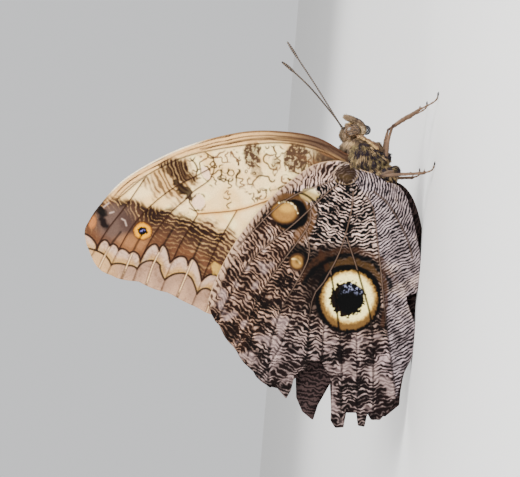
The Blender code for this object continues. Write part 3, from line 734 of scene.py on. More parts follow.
def forewing_paint(x, z):
    """Cream membrane with brown squiggles, a rippled brown band and two scalloped rows along the rim."""
    noise, oval, away, beside = brushes(x, z)

    def lay(over, amount):
        nonlocal colour
        colour = paint(colour, over, amount)

    costa = np.abs(away(rounded_line(FOREWING_COSTA, 2.5)))
    veins = {name: rounded_line(line, 2) for name, line in FOREWING_VEINS.items()}
    termen = np.abs(away(rounded_line(FOREWING_TERMEN, 2.5)))
    vein = beside(veins.values())
    radius = away(veins["radius"])
    cubitus = away(veins["cubitus"])
    band = away(rounded_line(FOREWING_BAND_EDGE, 2)) + 0.9 * noise(2.2, 5)
    row = -away(arches(FOREWING_INNER_ROW))
    outer = -away(arches(FOREWING_OUTER_ROW))
    wander = 0.42 * noise(2, 11) + 0.2 * noise(0.9, 12, 1)
    phase = termen + wander + 0.22 * np.minimum(vein, 1.6)
    grain = noise(0.5, 21, 2)
    blotch = noise(4.2, 23, 2)

    # cream ground, warmer in clouds and along the stem vein
    colour = tone(242, 227, 203)
    lay((232, 208, 172), rise(blotch, -0.3, 0.9) * 0.6)
    lay((250, 238, 214), rise(noise(3.4, 25), 0.1, 0.8) * 0.5)
    lay((226, 190, 140), rise(1.4 - np.abs(cubitus), 1.4) * 0.55)
    # squiggles in and below the cell
    in_cell = rise(radius, 0.3, 1.2) * rise(-cubitus, 0.3, 1) * rise(z, 22, 30) * rise(68 - z, 4)
    below = rise(cubitus, 0.2, 1.2) * rise(6.5 - cubitus, 3) * rise(46 - z, 6)
    open_ground = np.maximum(in_cell, below * 0.9)
    broken = rise(noise(1.7, 33), -0.8, -0.4)
    wide_loops = squiggles(x, z, 3.3, 31, 0.16, 0.27) * rise(x, 9, 13)
    small_loops = squiggles(x, z, 1.5, 35, 0.05, 0.24) * rise(noise(3.6, 37), -0.25, 0.1)
    line_colour = layered((88, 68, 54), ((140, 104, 74), rise(noise(2.6, 39), 0.1, 0.6)))
    for lines in (wide_loops, small_loops):
        lay(line_colour, lines * broken * open_ground * 0.88)
    # grainy brown patches
    speck = 0.55 + 0.45 * rise(grain, -0.7, -0.1)
    for depth, *place in ((1, (20.4, 47.4), (3.3, 2.2), 0.1), (1, (20.4, 35.8), (3.9, 2.5), 0.15),
                          (0.85, (21.4, 28.2), (2.8, 2.8), 0), (0.6, (15.6, 46), (1.9, 1.3), 0.4),
                          (0.5, (18.2, 41), (1.8, 0.9), 0.3), (0.7, (14.6, 30.6), (2.8, 2), 0.2)):
        lay((126, 104, 84), rise(1.3 - oval(*place) - 0.3 * noise(1.2, 41), 0.35) * speck * depth)
    # browner base with rusty veins
    base = rise(34 - np.hypot(x - 20, z - 4), 12)
    lay((120, 100, 84), base * 0.95)
    stripes = rise(np.sin((np.arctan2(x - 15, z - 12)) * 34 + 0.6 * blotch), 0.1, 0.9)
    lay((172, 134, 98), base * stripes * 0.5)
    # costal strip with long brown lines
    strip = rise(0.6 - radius, 1.6) * rise(93 - z, 5)
    lay((228, 202, 170), strip * 0.9)
    lay((128, 108, 94), strip * rise(54 - z, 24) * 0.97)
    lines = rise(np.sin(2 * np.pi * (costa + 0.16 * noise(5, 44)) / 1.05 - 0.6), 0.8)
    lines = lines * (0.8 + 0.3 * noise(3, 45))
    lay((116, 92, 78), lines * strip * 0.95)
    lay((104, 82, 64), strip * rise(30 - z, 12) * rise(blotch + grain, -0.4, 0.6) * 0.6)
    # rippled dark patch beyond the cell
    tip = oval((11.6, 69), (6, 6.4), 0.5) + 0.3 * noise(2, 51)
    sweep = np.hypot(x - 18, z - 58) + 0.35 * noise(1.8, 52)
    ripple = rise(np.sin(2 * np.pi * sweep / 1.2), -0.45, 0.45)
    within = rise(radius, -0.1, 0.6)
    lay((206, 178, 142), rise(1.3 - tip, 0.6) * within * 0.7)
    lay((120, 92, 70), rise(1.25 - tip, 0.5) * within * ripple * 0.8)
    smear = rise(1.25 - oval((14.4, 67.4), (5.6, 2.5), 1.05) - 0.4 * noise(1.3, 53), 0.5)
    fine = 0.7 + 0.3 * rise(np.sin(2 * np.pi * sweep / 0.9), -0.6, 0.3)
    lay((96, 70, 52), smear * rise(radius, -2.2, -0.4) * fine)
    lay((80, 58, 46), rise(1.25 - oval((8.9, 64.8), (3.2, 1.4), 0.9) - 0.45 * noise(1, 54), 0.5) * 0.95)
    for place in (((13.9, 59.6), (2.2, 1.1), 0.5), ((6, 60.8), (2.1, 1.8), 0)):
        rim = oval(*place) + 0.12 * noise(0.8, 55)
        lay((236, 219, 203), rise(1.05 - rim, 0.3))
        thin = rise(0.14 - np.abs(rim - 1.08), 0.1) * rise(noise(1.1, 56), -0.5, 0)
        lay((112, 84, 60), thin * 0.85)
    # brown band: cream ripples at its upper edge and behind, smooth brown before the rim
    in_band = rise(band, -2.2, 1)
    behind = rise(70 - z, 12)
    lay((204, 174, 136), rise(band, -1.6, 1.4) * 0.75)
    dark_share = 0.2 - 1.1 * rise(band, -2, 1.6) + 0.25 * behind
    wave = np.sin(2 * np.pi * phase / 1.15) + 0.3 * grain + 0.3 * blotch
    ripple = rise(wave, dark_share - 0.45, dark_share + 0.45)
    deep = layered((122, 96, 78), ((90, 68, 56), rise(blotch, -0.3, 0.7)))
    lay(deep, in_band * (0.3 + 0.7 * ripple) * rise(band, -2.2, 0.2))
    plain = rise(band, 2.6, 6) * (1 - 0.45 * behind)
    lay((122, 94, 74), plain * in_band * (0.8 + 0.15 * grain))
    near_row = rise(5 + row, 5)
    lay((176, 136, 102), near_row * rise(band, 2, 5) * (0.42 + 0.25 * blotch))
    # grey brown towards the tip, warm tan below the small eyespot
    lay((142, 123, 113), rise(1.3 - oval((-1.2, 83), (6.4, 5.4), 0.3), 0.8) * rise(band, 0.4, 2.4) * 0.92)
    lay((108, 84, 78), rise(1.2 - oval((-0.8, 79.8), (4.2, 2.6), 0.3), 0.9) * 0.6)
    lay((190, 152, 116), rise(1.5 - oval((-6.6, 77.6), (2.4, 4.4)), 0.9) * rise(band, 1.5, 4) * 0.65)
    # black and white marks at the tip
    for shade, *place in (((34, 26, 26), (1.5, 87), (1.2, 2.1), 2.4), ((58, 44, 46), (-1.7, 85.9), (2.4, 1.1), 0.5)):
        lay(shade, rise(1.25 - oval(*place) - 0.25 * noise(1, 61), 0.7) * 0.95)
    for line in ([(2.6, 86.2), (3.8, 84.9)], [(1.1, 84.4), (1.5, 83.4)], [(-0.2, 81.1), (-0.6, 80.2), (-1.9, 79.7)]):
        lay((222, 208, 200), rise(0.36 - beside([line]), 0.4) * 0.6)
    lay((200, 154, 112), rise(1.2 - oval((-1.6, 89), (2, 1.2)), 0.6) * 0.85)
    # two rows of arched fields along the rim
    pale = layered((206, 182, 164), ((222, 196, 154), rise(2.6 + outer, 2.4) * rise(-outer, -0.3, 0.1) * 0.75),
                   ((212, 196, 184), rise(1.1 - np.abs(row - 1), 1) * 0.6), ((186, 162, 144), rise(outer, -0.1, 0.2)),
                   ((208, 184, 164), rise(outer, 1.2, 4) * 0.6),
                   ((150, 118, 94), rise(grain + 0.5 * blotch, 0.1, 1.1) * 0.4),
                   ((232, 206, 170), rise(z, 78, 86) * rise(outer, -3, 1) * 0.4))
    lay(pale, rise(row, -0.1, 0.14))
    lay((92, 66, 50), rise(1.7 + row, 1.7) * rise(-row, -0.1, 0.1) * 0.5 * behind)
    for edge_line, strength in ((row, 0.92), (outer, 0.95)):
        lay((70, 52, 46), rise(0.4 - np.abs(edge_line + 0.05), 0.22) * strength)
        shade = rise(0.9 - np.abs(edge_line + 0.8), 0.9) * rise(-edge_line, 0.1)
        lay((112, 84, 66), shade * 0.35)
    lay((214, 190, 140), rise(1.2 - oval((-11.6, 54.4), (1.8, 1.3), 0.4) - 0.3 * noise(1, 66), 0.5) * 0.75)
    # the small eyespot
    spot = oval((-3, 75.2), (2.3, 2.45)) + 0.05 * noise(0.8, 71)
    lay((126, 92, 56), rise(1.22 - spot, 0.25) * 0.85)
    lay((230, 188, 92), rise(1 - spot + 0.05 * grain, 0.16))
    lay((190, 146, 76), rise(0.14 - np.abs(spot - 0.9), 0.14) * 0.6)
    lay((44, 30, 40), rise(0.6 - spot + 0.12 * grain, 0.16))
    glitter = rise(noise(0.42, 73, 1), 0.35, 0.8) * rise(0.36 - spot, 0.15)
    lay((160, 154, 200), glitter * 0.8)
    # folds and veins: painted shade along the folds, and in the rows by the rim a painted highlight down their middle
    fold = beside([rounded_line(line, 2) for line in FOREWING_FOLDS])
    # painted shade along the folds inside the band
    fold_shade = rise(0.5 - fold, 0.4) * rise(-row, -0.2, 0.6) * rise(band, 2, 5)
    lay((66, 46, 38), fold_shade * 0.75)
    # in the rows by the rim: painted shade beside each fold and a painted highlight along it
    lay((112, 84, 66), rise(0.52 - fold, 0.2) * rise(row, 0.1, 0.5) * 0.6)
    lay((234, 214, 190), rise(0.2 - fold, 0.14) * rise(row, 0.1, 0.5) * 0.9)
    line = rise(0.3 - vein, 0.2)
    stem = rise(0.8 - np.abs(cubitus), 0.3)
    vein_colour = layered((98, 70, 50), ((142, 104, 76), stem))
    lay(vein_colour, line * (0.9 - 0.25 * strip) * (1 - 0.3 * rise(row, 0.4)))
    # bright rim of the front edge
    rim = rise(0.5 - costa, 0.3)
    lay((132, 98, 70), rim * rise(62 - z, 6) * 0.75)
    lay((244, 236, 222), rim * rise(z, 60, 64) * rise(86 - z, 3))
    lay((90, 68, 52), rim * rise(z, 84, 87) * 0.8)
    return colour


def scale_dust(name, roughness, hinge, dark, light):
    """Wing scales in fine rows: the painted outer face, and faint rings round the hinge within."""
    finish, add, place = new_finish(name)
    painted_face = functools.partial(add, "Attribute", attribute_name="scales")
    from_hinge = add("VectorMath", place, (hinge[0] / 1000, 0, hinge[1] / 1000), operation="SUBTRACT")
    rings = add("TexWave", from_hinge, wave_type="RINGS", rings_direction="Y", Scale=265, Distortion=9, Detail=3,
                Detail_Scale=2.4, out="Fac")
    face = add("Mix", painted_face(out="Alpha"), *[None] * 5, two_tone(add, rings, (0.35, dark), (0.85, light)),
               painted_face(), data_type="RGBA", out=2)
    rows = add("TexVoronoi", Vector=place, Scale=9000)
    flakes = add("TexNoise", Vector=place, Scale=2600, Detail=3, Roughness=0.65)
    shades = [add("MapRange", flakes, 0.25, 0.75, 0.82, 1.16), add("MapRange", rows, 0, 1, 1.06, 0.86)]
    return surface(finish, face, shades, flakes, (roughness - 0.12, roughness + 0.12), (rows, 0.35, 0.00006),
                   Specular_IOR_Level=0.06)


forewing_scales = scale_dust("forewing_scales", 0.72, (17, 18), tone(158, 134, 110), tone(186, 164, 138))
forewing_outline = np.vstack([rounded_line(FOREWING_COSTA, 1.5),
                              lobed(FOREWING_TERMEN, FOREWING_LOBES, FOREWING_LOBE_DEPTH)[1:],
                              rounded_line(FOREWING_DORSUM, 3)[1:-1]])
for side_name, side in SIDES.items():
    mesh = wing_mesh(forewing_outline, FOREWING_LEVEL, side, FOREWING_VEINS.values(), FOREWING_FOLDS, forewing_paint)
    piece = new_piece(f"forewing_sheet_{side_name}", mesh, forewing_scales)
    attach(piece, "root")
    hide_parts(f"forewing_{side_name}")


# HINDWINGS
# The same membrane, veins and scales, hung outside the forewings. The near pair of
# tails and the inner margin are torn with age, each wing in its own way.
HINDWING_COSTA = [(17.6, 15.4), (18.4, 18.6), (20.1, 22.6), (19.4, 28.6), (16.4, 33.7), (7.3, 42.7),
                  (-3.6, 49.9), (-14, 54.4), (-20.6, 56.2)]
HINDWING_TERMEN = [(-20.6, 56.2), (-25.6, 53.8), (-33.4, 47.6), (-39.6, 41.6), (-42.2, 37.5)]
HINDWING_LOBES = 4
HINDWING_LOBE_DEPTH = 0.6
HINDWING_TAILS = {
    "left": [(-42.6, 34.8), (-39.3, 30.8), (-44.6, 30.2), (-48.2, 28.3), (-50.4, 25.2), (-46.2, 24.2), (-40.2, 21.4),
             (-49.6, 20.2), (-51.3, 18.6), (-50.6, 17), (-47.2, 16.6), (-47, 13.9), (-49.6, 12.8), (-49.2, 11.2),
             (-47, 10.6), (-48, 9.2), (-47.7, 5.7), (-44.3, 2.2)],
    "right": [(-41.3, 36.4), (-44.8, 33), (-42.4, 31.9), (-38.2, 31.2), (-36.5, 28.3), (-34.3, 27.9), (-33.8, 24.4),
              (-36.9, 22.8), (-39.4, 21), (-49.7, 20.6), (-51.5, 19.2), (-51.2, 17), (-47.2, 16.6), (-47, 13.9),
              (-50.4, 13.2), (-50.6, 11.4), (-47, 10.9), (-48.6, 9.8), (-48.4, 7.4), (-44.2, 4.2)],
}
HINDWING_INNER = {
    "left": [(-41, 2.2), (-35.7, 1.6), (-29, -0.3), (-14, -0.7), (0, -0.4), (6, 0.6), (12.4, 3.4),
             (15.6, 6.8), (16.2, 10.8), (17, 13.6)],
    "right": [(-41.2, 3.2), (-36, 2.2), (-31, 0.2), (-27, -0.4), (-23, -0.3), (-17.4, 2.2), (-14.6, 2.9),
              (-13.4, 0.3), (-9, -0.4), (-3, 0.3), (4.3, 2.4), (10.6, 4.6), (14.6, 7.6), (15.4, 11.4), (17, 13.6)],
}
HINDWING_VEINS = {
    "subcosta": [(16.6, 20.4), (14.8, 25), (8.2, 37.6), (-5, 49.4)],
    "radius": [(14.6, 20.6), (12.6, 25.2), (3, 34), (-9, 45.7), (-24.9, 53.1)],
    "media_1": [(6, 30.6), (0.9, 31.4), (-14.8, 40.9), (-32, 47.4)],
    "media_2": [(0.9, 31.4), (-7, 30.2), (-21.2, 36.3), (-31, 38.6), (-40.8, 38.2)],
    "media_3": [(-12.6, 25.4), (-18, 28.2), (-33, 28.4)],
    "cubitus": [(12.2, 19.6), (5.9, 19.8), (-4.3, 21.9), (-12.6, 25.4)],
    "cubitus_1": [(-9.6, 23.9), (-21.3, 21.1), (-34.7, 18.9), (-49.9, 17.9)],
    "cubitus_2": [(0, 20.4), (-11.4, 15.7), (-24, 11.6), (-46.4, 9.4)],
    "anal_2": [(11.2, 16.2), (8, 14), (-1.6, 11.9), (-25.6, 7.2), (-40.2, 4)],
    "anal_3": [(12.6, 14.2), (9.1, 9.8), (0.9, 4.4), (-4.3, 2.4)],
}
HINDWING_HINGE = (15, 20.5)
EYESPOT = (-17, 18.35)
HINDWING_MARGIN = [*HINDWING_TERMEN, (-45, 31), (-50.5, 24), (-51, 12), (-46, 3)]
HINDWING_FOLDS = [[(-16, 40.4), (-24, 43), (-34.2, 44.2)], [(-20.2, 33), (-30, 35.4), (-40.3, 40.6)],
                  [(-23.5, 24.5), (-34.4, 24.3)], [(-26, 15.6), (-46, 13.6)]]


def hindwing_paint(x, z):
    """Fine light ripples over dark brown, three golden spots and the great owl's eye."""
    noise, oval, away, beside = brushes(x, z)

    def lay(over, amount):
        nonlocal colour
        colour = paint(colour, over, amount)

    reach = np.hypot(x - HINDWING_HINGE[0], z - HINDWING_HINGE[1])
    veins = {name: rounded_line(line, 2) for name, line in HINDWING_VEINS.items()}
    vein = beside(veins.values())
    fold = beside([rounded_line(line, 2.5) for line in HINDWING_FOLDS])
    anal = away(veins["anal_2"])
    costa = np.abs(away(rounded_line(HINDWING_COSTA, 2.5)))
    margin = np.abs(away(rounded_line(HINDWING_MARGIN, 2.5)))
    grain = noise(0.5, 121, 2)
    blotch = noise(4.6, 123, 2)
    spots = noise(2.2, 125, 2)

    # ripples: bold black and white round the hinge, even and fine along the body edge
    near = rise(25 - reach, 10)
    inner = rise(anal, -0.2, 0.2)
    outer = rise(reach, 34, 50)
    left = rise(z + 0.55 * x - 24, -6, 6) * (1 - inner)
    wander = (0.56 - 0.24 * inner) * noise(2.3, 111) + (0.3 - 0.1 * inner) * noise(0.9, 112, 1)
    bend = np.minimum(np.minimum(vein, fold), 1.8) * 0.42
    cycles = np.where(anal > 0, (reach + wander * 0.8 + 0.25 * vein) / 0.88, (reach + wander + bend) / 1.1)
    cycles = cycles + 7 * (1 - np.exp(-reach / 22))
    wave = np.sin(2 * np.pi * cycles) + 0.28 * grain
    hump = rise(x + 0.35 * (z - 24), 14, 16.5) * rise(z, 22, 26)
    pale_corner = rise(1.5 - oval((-32, 5.5), (5, 3.6)), 0.9)
    scarce = 0.44 + 0.08 * left + 0.12 * outer - 0.2 * inner + 0.3 * near - 0.6 * hump - 0.4 * pale_corner
    clumps = (0.5 * spots + 0.35 * blotch) * (1 - 0.7 * inner) * (1 - 0.4 * near) + 0.3 * noise(1.1, 127, 1)
    ripple = rise(wave - scarce + clumps, -0.42, 0.42)

    dark = layered((78, 60, 54), ((88, 66, 54), left), ((74, 60, 62), outer * 0.8 * (1 - left)),
                   ((34, 26, 26), near), ((68, 60, 66), inner * 0.9),
                   ((48, 37, 38), rise(-blotch, 0.05, 0.8) * 0.7 * (1 - inner)), ((92, 72, 66), hump * 0.8))
    light = layered((202, 184, 174), ((208, 184, 168), left * 0.8), ((196, 182, 180), outer * 0.8 * (1 - left)),
                    ((232, 218, 212), near * 0.9), ((214, 194, 184), hump * 0.8),
                    ((216, 202, 202), pale_corner * 0.8), ((200, 190, 192), inner * 0.85),
                    ((226, 212, 204), rise(spots + blotch, 0.4, 1.3) * 0.5))
    worn = 0.5 + 0.5 * rise(noise(1.5, 129), -0.7, 0.3)
    colour = paint(dark, light, ripple * np.maximum(worn, near))
    # each field between two veins darkens along its middle
    middle = rise(np.minimum(vein, fold), 0.5, 1.7) * (1 - inner) * rise(reach, 20, 34)
    lay((74, 56, 52), middle * (0.3 + 0.25 * blotch))
    # paler and darker clouds towards the rim
    haze = rise(spots + 0.8 * blotch + 0.4 * outer, 0.5, 1.3) * rise(reach, 22, 36) * (1 - inner)
    lay((186, 170, 168), haze * 0.45)
    lay((58, 45, 44), rise(-spots - 0.6 * blotch, 0.15, 0.9) * rise(reach, 22, 34) * 0.5)
    lay((54, 42, 44), rise(5 - margin, 3) * 0.3 * rise(-38 - x, 4))
    # narrow mottled strip along the front edge
    edge = rise(2.3 - costa + 0.6 * spots, 1.3) * rise(z, 26, 32)
    dashes = rise(np.sin(2 * np.pi * (z - 0.5 * x + 0.8 * spots) / 1.5) + 0.5 * grain, 0.7)
    lay(layered((206, 186, 170), ((96, 72, 60), dashes * 0.95)), edge * 0.9)
    lay((214, 194, 172), rise(0.35 - costa, 0.25) * 0.7)
    # round lobe at the hinge
    lobe = oval((16.8, 22.1), (2.6, 3), 0.35) + 0.1 * spots
    lay((44, 34, 30), rise(0.16 - np.abs(lobe - 1.22), 0.12) * 0.6)
    lay((178, 158, 130), rise(0.1 - np.abs(lobe - 1.08), 0.08) * 0.45)
    lay((96, 78, 60), rise(1.02 - lobe, 0.12) * (0.92 + 0.08 * grain))
    lay((136, 118, 86), rise(0.9 - lobe, 0.6) * rise(17.5 - x, 2.5) * 0.7)

    # golden spot with a heavy black shadow, and the cream patch before it
    lay((150, 120, 86), rise(1.2 - oval((2.4, 31.6), (6, 2.4), -0.35), 0.5) * 0.75 * (0.8 + 0.3 * ripple))
    cream = rise(1.15 - oval((10.4, 31.4), (1.9, 2.6), 0.2) - 0.2 * grain, 0.4)
    lay(tone(200, 182, 142) * (1 + 0.2 * grain[..., None]), cream * 0.95)
    lay((238, 230, 208), cream * rise(x - 0.3 * (z - 31), 10.6, 12) * 0.85)
    lay((136, 108, 68), rise(1.08 - oval((5.4, 36.6), (5, 5.8), 0.1), 0.16) * rise(39.5 - z + 0.3 * x, 3) * 0.92)
    lay((24, 17, 17), rise(1.06 - oval((4.7, 36.2), (4.3, 5.1), 0.1) + 0.1 * spots, 0.18) * rise(43 - z - 0.2 * x, 4))
    whisker = [(10.9, 35.2), (10.3, 32.4), (8.3, 29.5), (5.2, 28.4), (2.6, 28.9)]
    lay((38, 26, 22), rise(0.5 - beside([rounded_line(whisker, 1)]), 0.35) * 0.92)
    ball_spot = oval((5.1, 37.6), (3.2, 4), 0)
    lay((104, 80, 56), rise(1.1 - ball_spot + 0.05 * grain, 0.18))
    lay((180, 148, 96), rise(0.98 - ball_spot, 0.35))
    lay((214, 186, 132), rise(1 - oval((6.3, 37), (1.8, 2.9)), 0.8) * 0.85)
    crescent = beside([rounded_line([(7.6, 39.2), (8, 37.2), (7.2, 35.2), (5.2, 33.9)], 0.7)])
    lay((248, 236, 214), rise(0.28 - crescent + 0.25 * grain, 0.35) * 0.85)
    # small middle spot
    lay((24, 18, 18), rise(1.05 - oval((-6.4, 33), (4, 3.2), 0.1) + 0.12 * spots, 0.3) * 0.95)
    ball_spot = oval((-7.9, 33), (2.3, 2.2), 0)
    lay((118, 92, 64), rise(1.14 - ball_spot, 0.22))
    lay((186, 156, 106), rise(0.88 - ball_spot, 0.35))
    crescent = beside([rounded_line([(-7.2, 34.4), (-7.2, 33.2), (-8.2, 32.2)], 0.7)])
    lay((240, 222, 188), rise(0.4 - crescent, 0.4) * 0.7)

    # arches of dark brown, black and gold over the great eyespot
    above = rise(x - EYESPOT[0], -1, 8)
    eye = oval(EYESPOT, (8.5, 8.2)) + 0.012 * noise(1, 131)
    sweep = oval((EYESPOT[0], EYESPOT[1] + 0.4), (8.3, 8.4)) + 0.05 * spots
    halo = rise(1.12 - oval((-13.4, 20.8), (12, 10.8), 0.25) + 0.12 * spots, 0.3)
    lay((66, 50, 42), halo * (0.9 + 0.1 * grain))
    lay((52, 39, 33), rise(1.15 - oval((-8, 27.6), (6.4, 4.6), 0.6) + 0.3 * spots, 0.6) * 0.85)
    for centre in ((-6, 26.6), (-8.6, 25)):
        lay((104, 76, 54), rise(1.1 - oval(centre, (2.6, 0.8), 0.3), 0.5) * 0.8)
    for shade, place, half, soft, start, end, amount in (
            ((122, 99, 60), 1.26, 0.15, 0.09, 0.15, 0.6, rise(26 - z, 4) * (0.75 + 0.2 * grain)),
            ((112, 86, 64), 1.62, 0.15, 0.1, 0.4, 0.8, 0.55 + 0.3 * grain),
            ((18, 14, 14), 1.45, 0.11, 0.08, 0.2, 0.7, 0.95)):
        lay(shade, rise(half - np.abs(sweep - place), soft) * rise(above, start, end) * amount)
    side_strip = beside([rounded_line([(-8.2, 10), (-16.2, 8.4), (-23, 8.8)], 1.5)])
    lay((112, 86, 68), rise(0.9 - side_strip + 0.2 * grain, 0.7) * 0.7)
    # the great eyespot: black ring heavier above, gold, cream, and a black pupil dusted blue
    ring_width = 0.05 + 0.08 * rise(above, 0.1, 1) + 0.05 * rise(z - EYESPOT[1], 2, 8)
    lay((18, 13, 14), rise(1.02 + ring_width - eye, 0.05))
    lay((96, 74, 50), rise(0.985 - eye + 0.02 * grain, 0.05))
    lay((150, 124, 78), rise(0.97 - eye + 0.03 * grain, 0.07))
    iris = oval((EYESPOT[0] + 0.8, EYESPOT[1]), (8.1, 8.1)) - 0.04 * grain
    lay((206, 180, 130), rise(0.93 - iris, 0.14))
    lay((250, 238, 210), rise(0.87 - iris, 0.16))
    pupil = oval((-16.7, 18.8), (4.75, 4.7))
    fuzz = 0.1 * noise(0.5, 135, 1)
    lay((70, 54, 44), rise(1.02 - pupil + fuzz, 0.08))
    core = oval((-16.5, 17.9), (4.6, 4.1))
    lay((12, 10, 16), rise(1 - core + fuzz, 0.1))
    dusted = rise(x, -15.9, -13.6) * rise(0.95 - core, 0.15) * rise(core, 0.2, 0.5)
    lay((36, 38, 60), dusted * 0.7)
    lay((184, 186, 204), rise(noise(0.36, 137, 1), 0.3, 0.8) * dusted * 0.75)
    # veins, and painted shadow along the folds
    in_eye = rise(1 - eye, 0.03)
    # painted shadow in each fold
    lay((54, 41, 38), rise(0.36 - fold, 0.22) * 0.7)
    lay((54, 41, 37), rise(0.42 - vein, 0.2) * 0.7 * rise(lobe, 1.2, 1.5))
    pale_vein = np.where(z > 12.5 + 0.3 * x, 1, 0.6) * (1 - in_eye) * rise(lobe, 1.2, 1.5)
    lay((180, 160, 146), rise(0.17 - vein, 0.15) * 0.5 * pale_vein * rise(42 - reach, 14))
    lay((40, 28, 26), rise(0.26 - vein, 0.18) * 0.85 * in_eye)
    return colour


hindwing_scales = scale_dust("hindwing_scales", 0.78, HINDWING_HINGE, tone(74, 62, 62), tone(118, 102, 100))
hindwing_front = np.vstack([rounded_line(HINDWING_COSTA, 1.5),
                            lobed(HINDWING_TERMEN, HINDWING_LOBES, HINDWING_LOBE_DEPTH)[1:]])
for side_name, side in SIDES.items():
    outline = np.vstack([hindwing_front, HINDWING_TAILS[side_name], rounded_line(HINDWING_INNER[side_name], 1.2)])
    outline[:, 1] = np.maximum(outline[:, 1], 0)
    mesh = wing_mesh(outline, HINDWING_LEVEL, side, HINDWING_VEINS.values(), HINDWING_FOLDS, hindwing_paint)
    piece = new_piece(f"hindwing_sheet_{side_name}", mesh, hindwing_scales)
    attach(piece, "root")
    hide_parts(f"hindwing_{side_name}")


# COAT
# Hair-like scales on head, chest, belly, palps and legs, laid backwards in thin
# overlapping tufts, each rooted in the skin below and coloured like it.
COAT_SHARE = 1.0
ROOT_PATCH = 0.003


def tuft_object(name, hairs, spread, width, bow, seed):
    """The clump of slender tapering hairs that the coat repeats, bowing to -X and kept out of the scene."""
    chance = np.random.default_rng(seed)
    points, faces, along, patch = [], [], [], []
    for _ in range(hairs):
        root, lean = chance.uniform(-spread, spread, 2), chance.uniform(-0.16, 0.16, 2)
        length, twist = chance.uniform(0.7, 1), chance.uniform(0, math.tau)
        first = len(points)
        for level, size, corners in ((0, 0.8, 3), (0.5, 1, 3), (1, 0, 1)):
            height, out = level * length, width * size
            middle = root + lean * height - (bow * height ** 2, 0)
            for corner in range(corners):
                turn = twist + math.tau * corner / 3
                points.append((middle[0] + out * math.cos(turn), middle[1] + out * math.sin(turn), height))
                along.append(level)
                patch.append((corner / 3 if size else 0.5, level, 0))
        for corner in range(3):
            after = (corner + 1) % 3
            faces.append((first + corner, first + after, first + 3 + after, first + 3 + corner))
            faces.append((first + 3 + corner, first + 3 + after, first + 6))
        faces.append((first + 2, first + 1, first))
    mesh = bpy.data.meshes.new(name)
    mesh.from_pydata(points, [], faces)
    mesh.attributes.new("along", "FLOAT", "POINT").data.foreach_set("value", along)
    patches = mesh.attributes.new("patch", "FLOAT_VECTOR", "POINT")
    patches.data.foreach_set("vector", np.array(patch, np.float32).ravel())
    mesh.shade_smooth()
    return bpy.data.objects.new(name, mesh)


def coat_tree():
    """Tufts scattered over a skin, each turned along the lie of the coat."""
    tree = bpy.data.node_groups.new("coat", "GeometryNodeTree")
    add = functools.partial(node, tree)
    for label, kind in (("Geometry", "Geometry"), ("Tuft", "Object"), ("Density", "Float"), ("Stand", "Float"),
                        ("Disorder", "Float"), ("Seed", "Int"), ("Finish", "Material")):
        tree.interface.new_socket(label, in_out="INPUT", socket_type="NodeSocket" + kind)
    tree.interface.new_socket("Geometry", in_out="OUTPUT", socket_type="NodeSocketGeometry")
    given = tree.nodes.new("NodeGroupInput").outputs

    def named(label, kind="FLOAT_VECTOR"):
        return add("GeometryNodeInputNamedAttribute", Name=label, data_type=kind, out="Attribute")

    def times(first, second):
        return add("Math", first, second, operation="MULTIPLY")

    def scaled(first, second):
        return add("VectorMath", first, Scale=second, operation="SCALE")

    def both(first, second):
        return add("VectorMath", first, second, operation="ADD")

    spots = add("GeometryNodeDistributePointsOnFaces", Mesh=given["Geometry"], Seed=given["Seed"],
                Density=times(given["Density"], named("thick", "FLOAT")))
    normal = spots.node.outputs["Normal"]
    sway = add("FunctionNodeRandomValue", (-1, -1, -1), (1, 1, 1), Seed=given["Seed"], data_type="FLOAT_VECTOR")
    aim = both(both(named("lie"), scaled(normal, given["Stand"])), scaled(sway, given["Disorder"]))
    along_lie = add("FunctionNodeAlignRotationToVector", Vector=aim, axis="Z")
    turned = add("FunctionNodeAlignRotationToVector", Rotation=along_lie, Vector=normal, axis="X", pivot_axis="Z")
    vary = add("FunctionNodeRandomValue", None, None, 0.7, 1.15, Seed=given["Seed"], data_type="FLOAT", out=1)
    planted = add("GeometryNodeInstanceOnPoints", spots, Rotation=turned, Scale=times(named("reach", "FLOAT"), vary),
                  Instance=add("GeometryNodeObjectInfo", given["Tuft"], out="Geometry"))
    real = add("GeometryNodeRealizeInstances", planted)
    store = add("GeometryNodeStoreNamedAttribute", real, Name="OFBake",
                Value=both(named("root_uv"), scaled(named("patch"), ROOT_PATCH)), data_type="FLOAT2", domain="CORNER")
    dressed = add("GeometryNodeSetMaterial", store, Material=given["Finish"])
    tree.links.new(dressed, tree.nodes.new("NodeGroupOutput").inputs[0])
    return tree


def grow_coat(name, skin, lie, reach, thick, tint, root_uv, finish, **given):
    """Grow tufts on a skin once its points know the coat's lie, reach, thickness, colour and place."""
    count = len(skin.vertices)
    for label, values in (("lie", lie), ("root_uv", np.insert(root_uv, 2, 0, axis=1))):
        vectors = values.astype(np.float32).ravel()
        skin.attributes.new(label, "FLOAT_VECTOR", "POINT").data.foreach_set("vector", vectors)
    for label, values in (("reach", reach), ("thick", thick)):
        values = np.broadcast_to(values, count).astype(np.float32)
        skin.attributes.new(label, "FLOAT", "POINT").data.foreach_set("value", values)
    painted(skin, "tint", tint)
    ground = in_scene("ground", skin)
    grower = ground.modifiers.new("coat", "NODES")
    grower.node_group = hair_tree
    given = {"Finish": finish, **given, "Density": given["Density"] * COAT_SHARE}
    for item in hair_tree.interface.items_tree:
        if item.in_out == "INPUT" and item.name in given:
            grower[item.identifier] = given[item.name]
    mesh = applied(ground)
    mesh.name = name
    return new_piece(name, mesh)


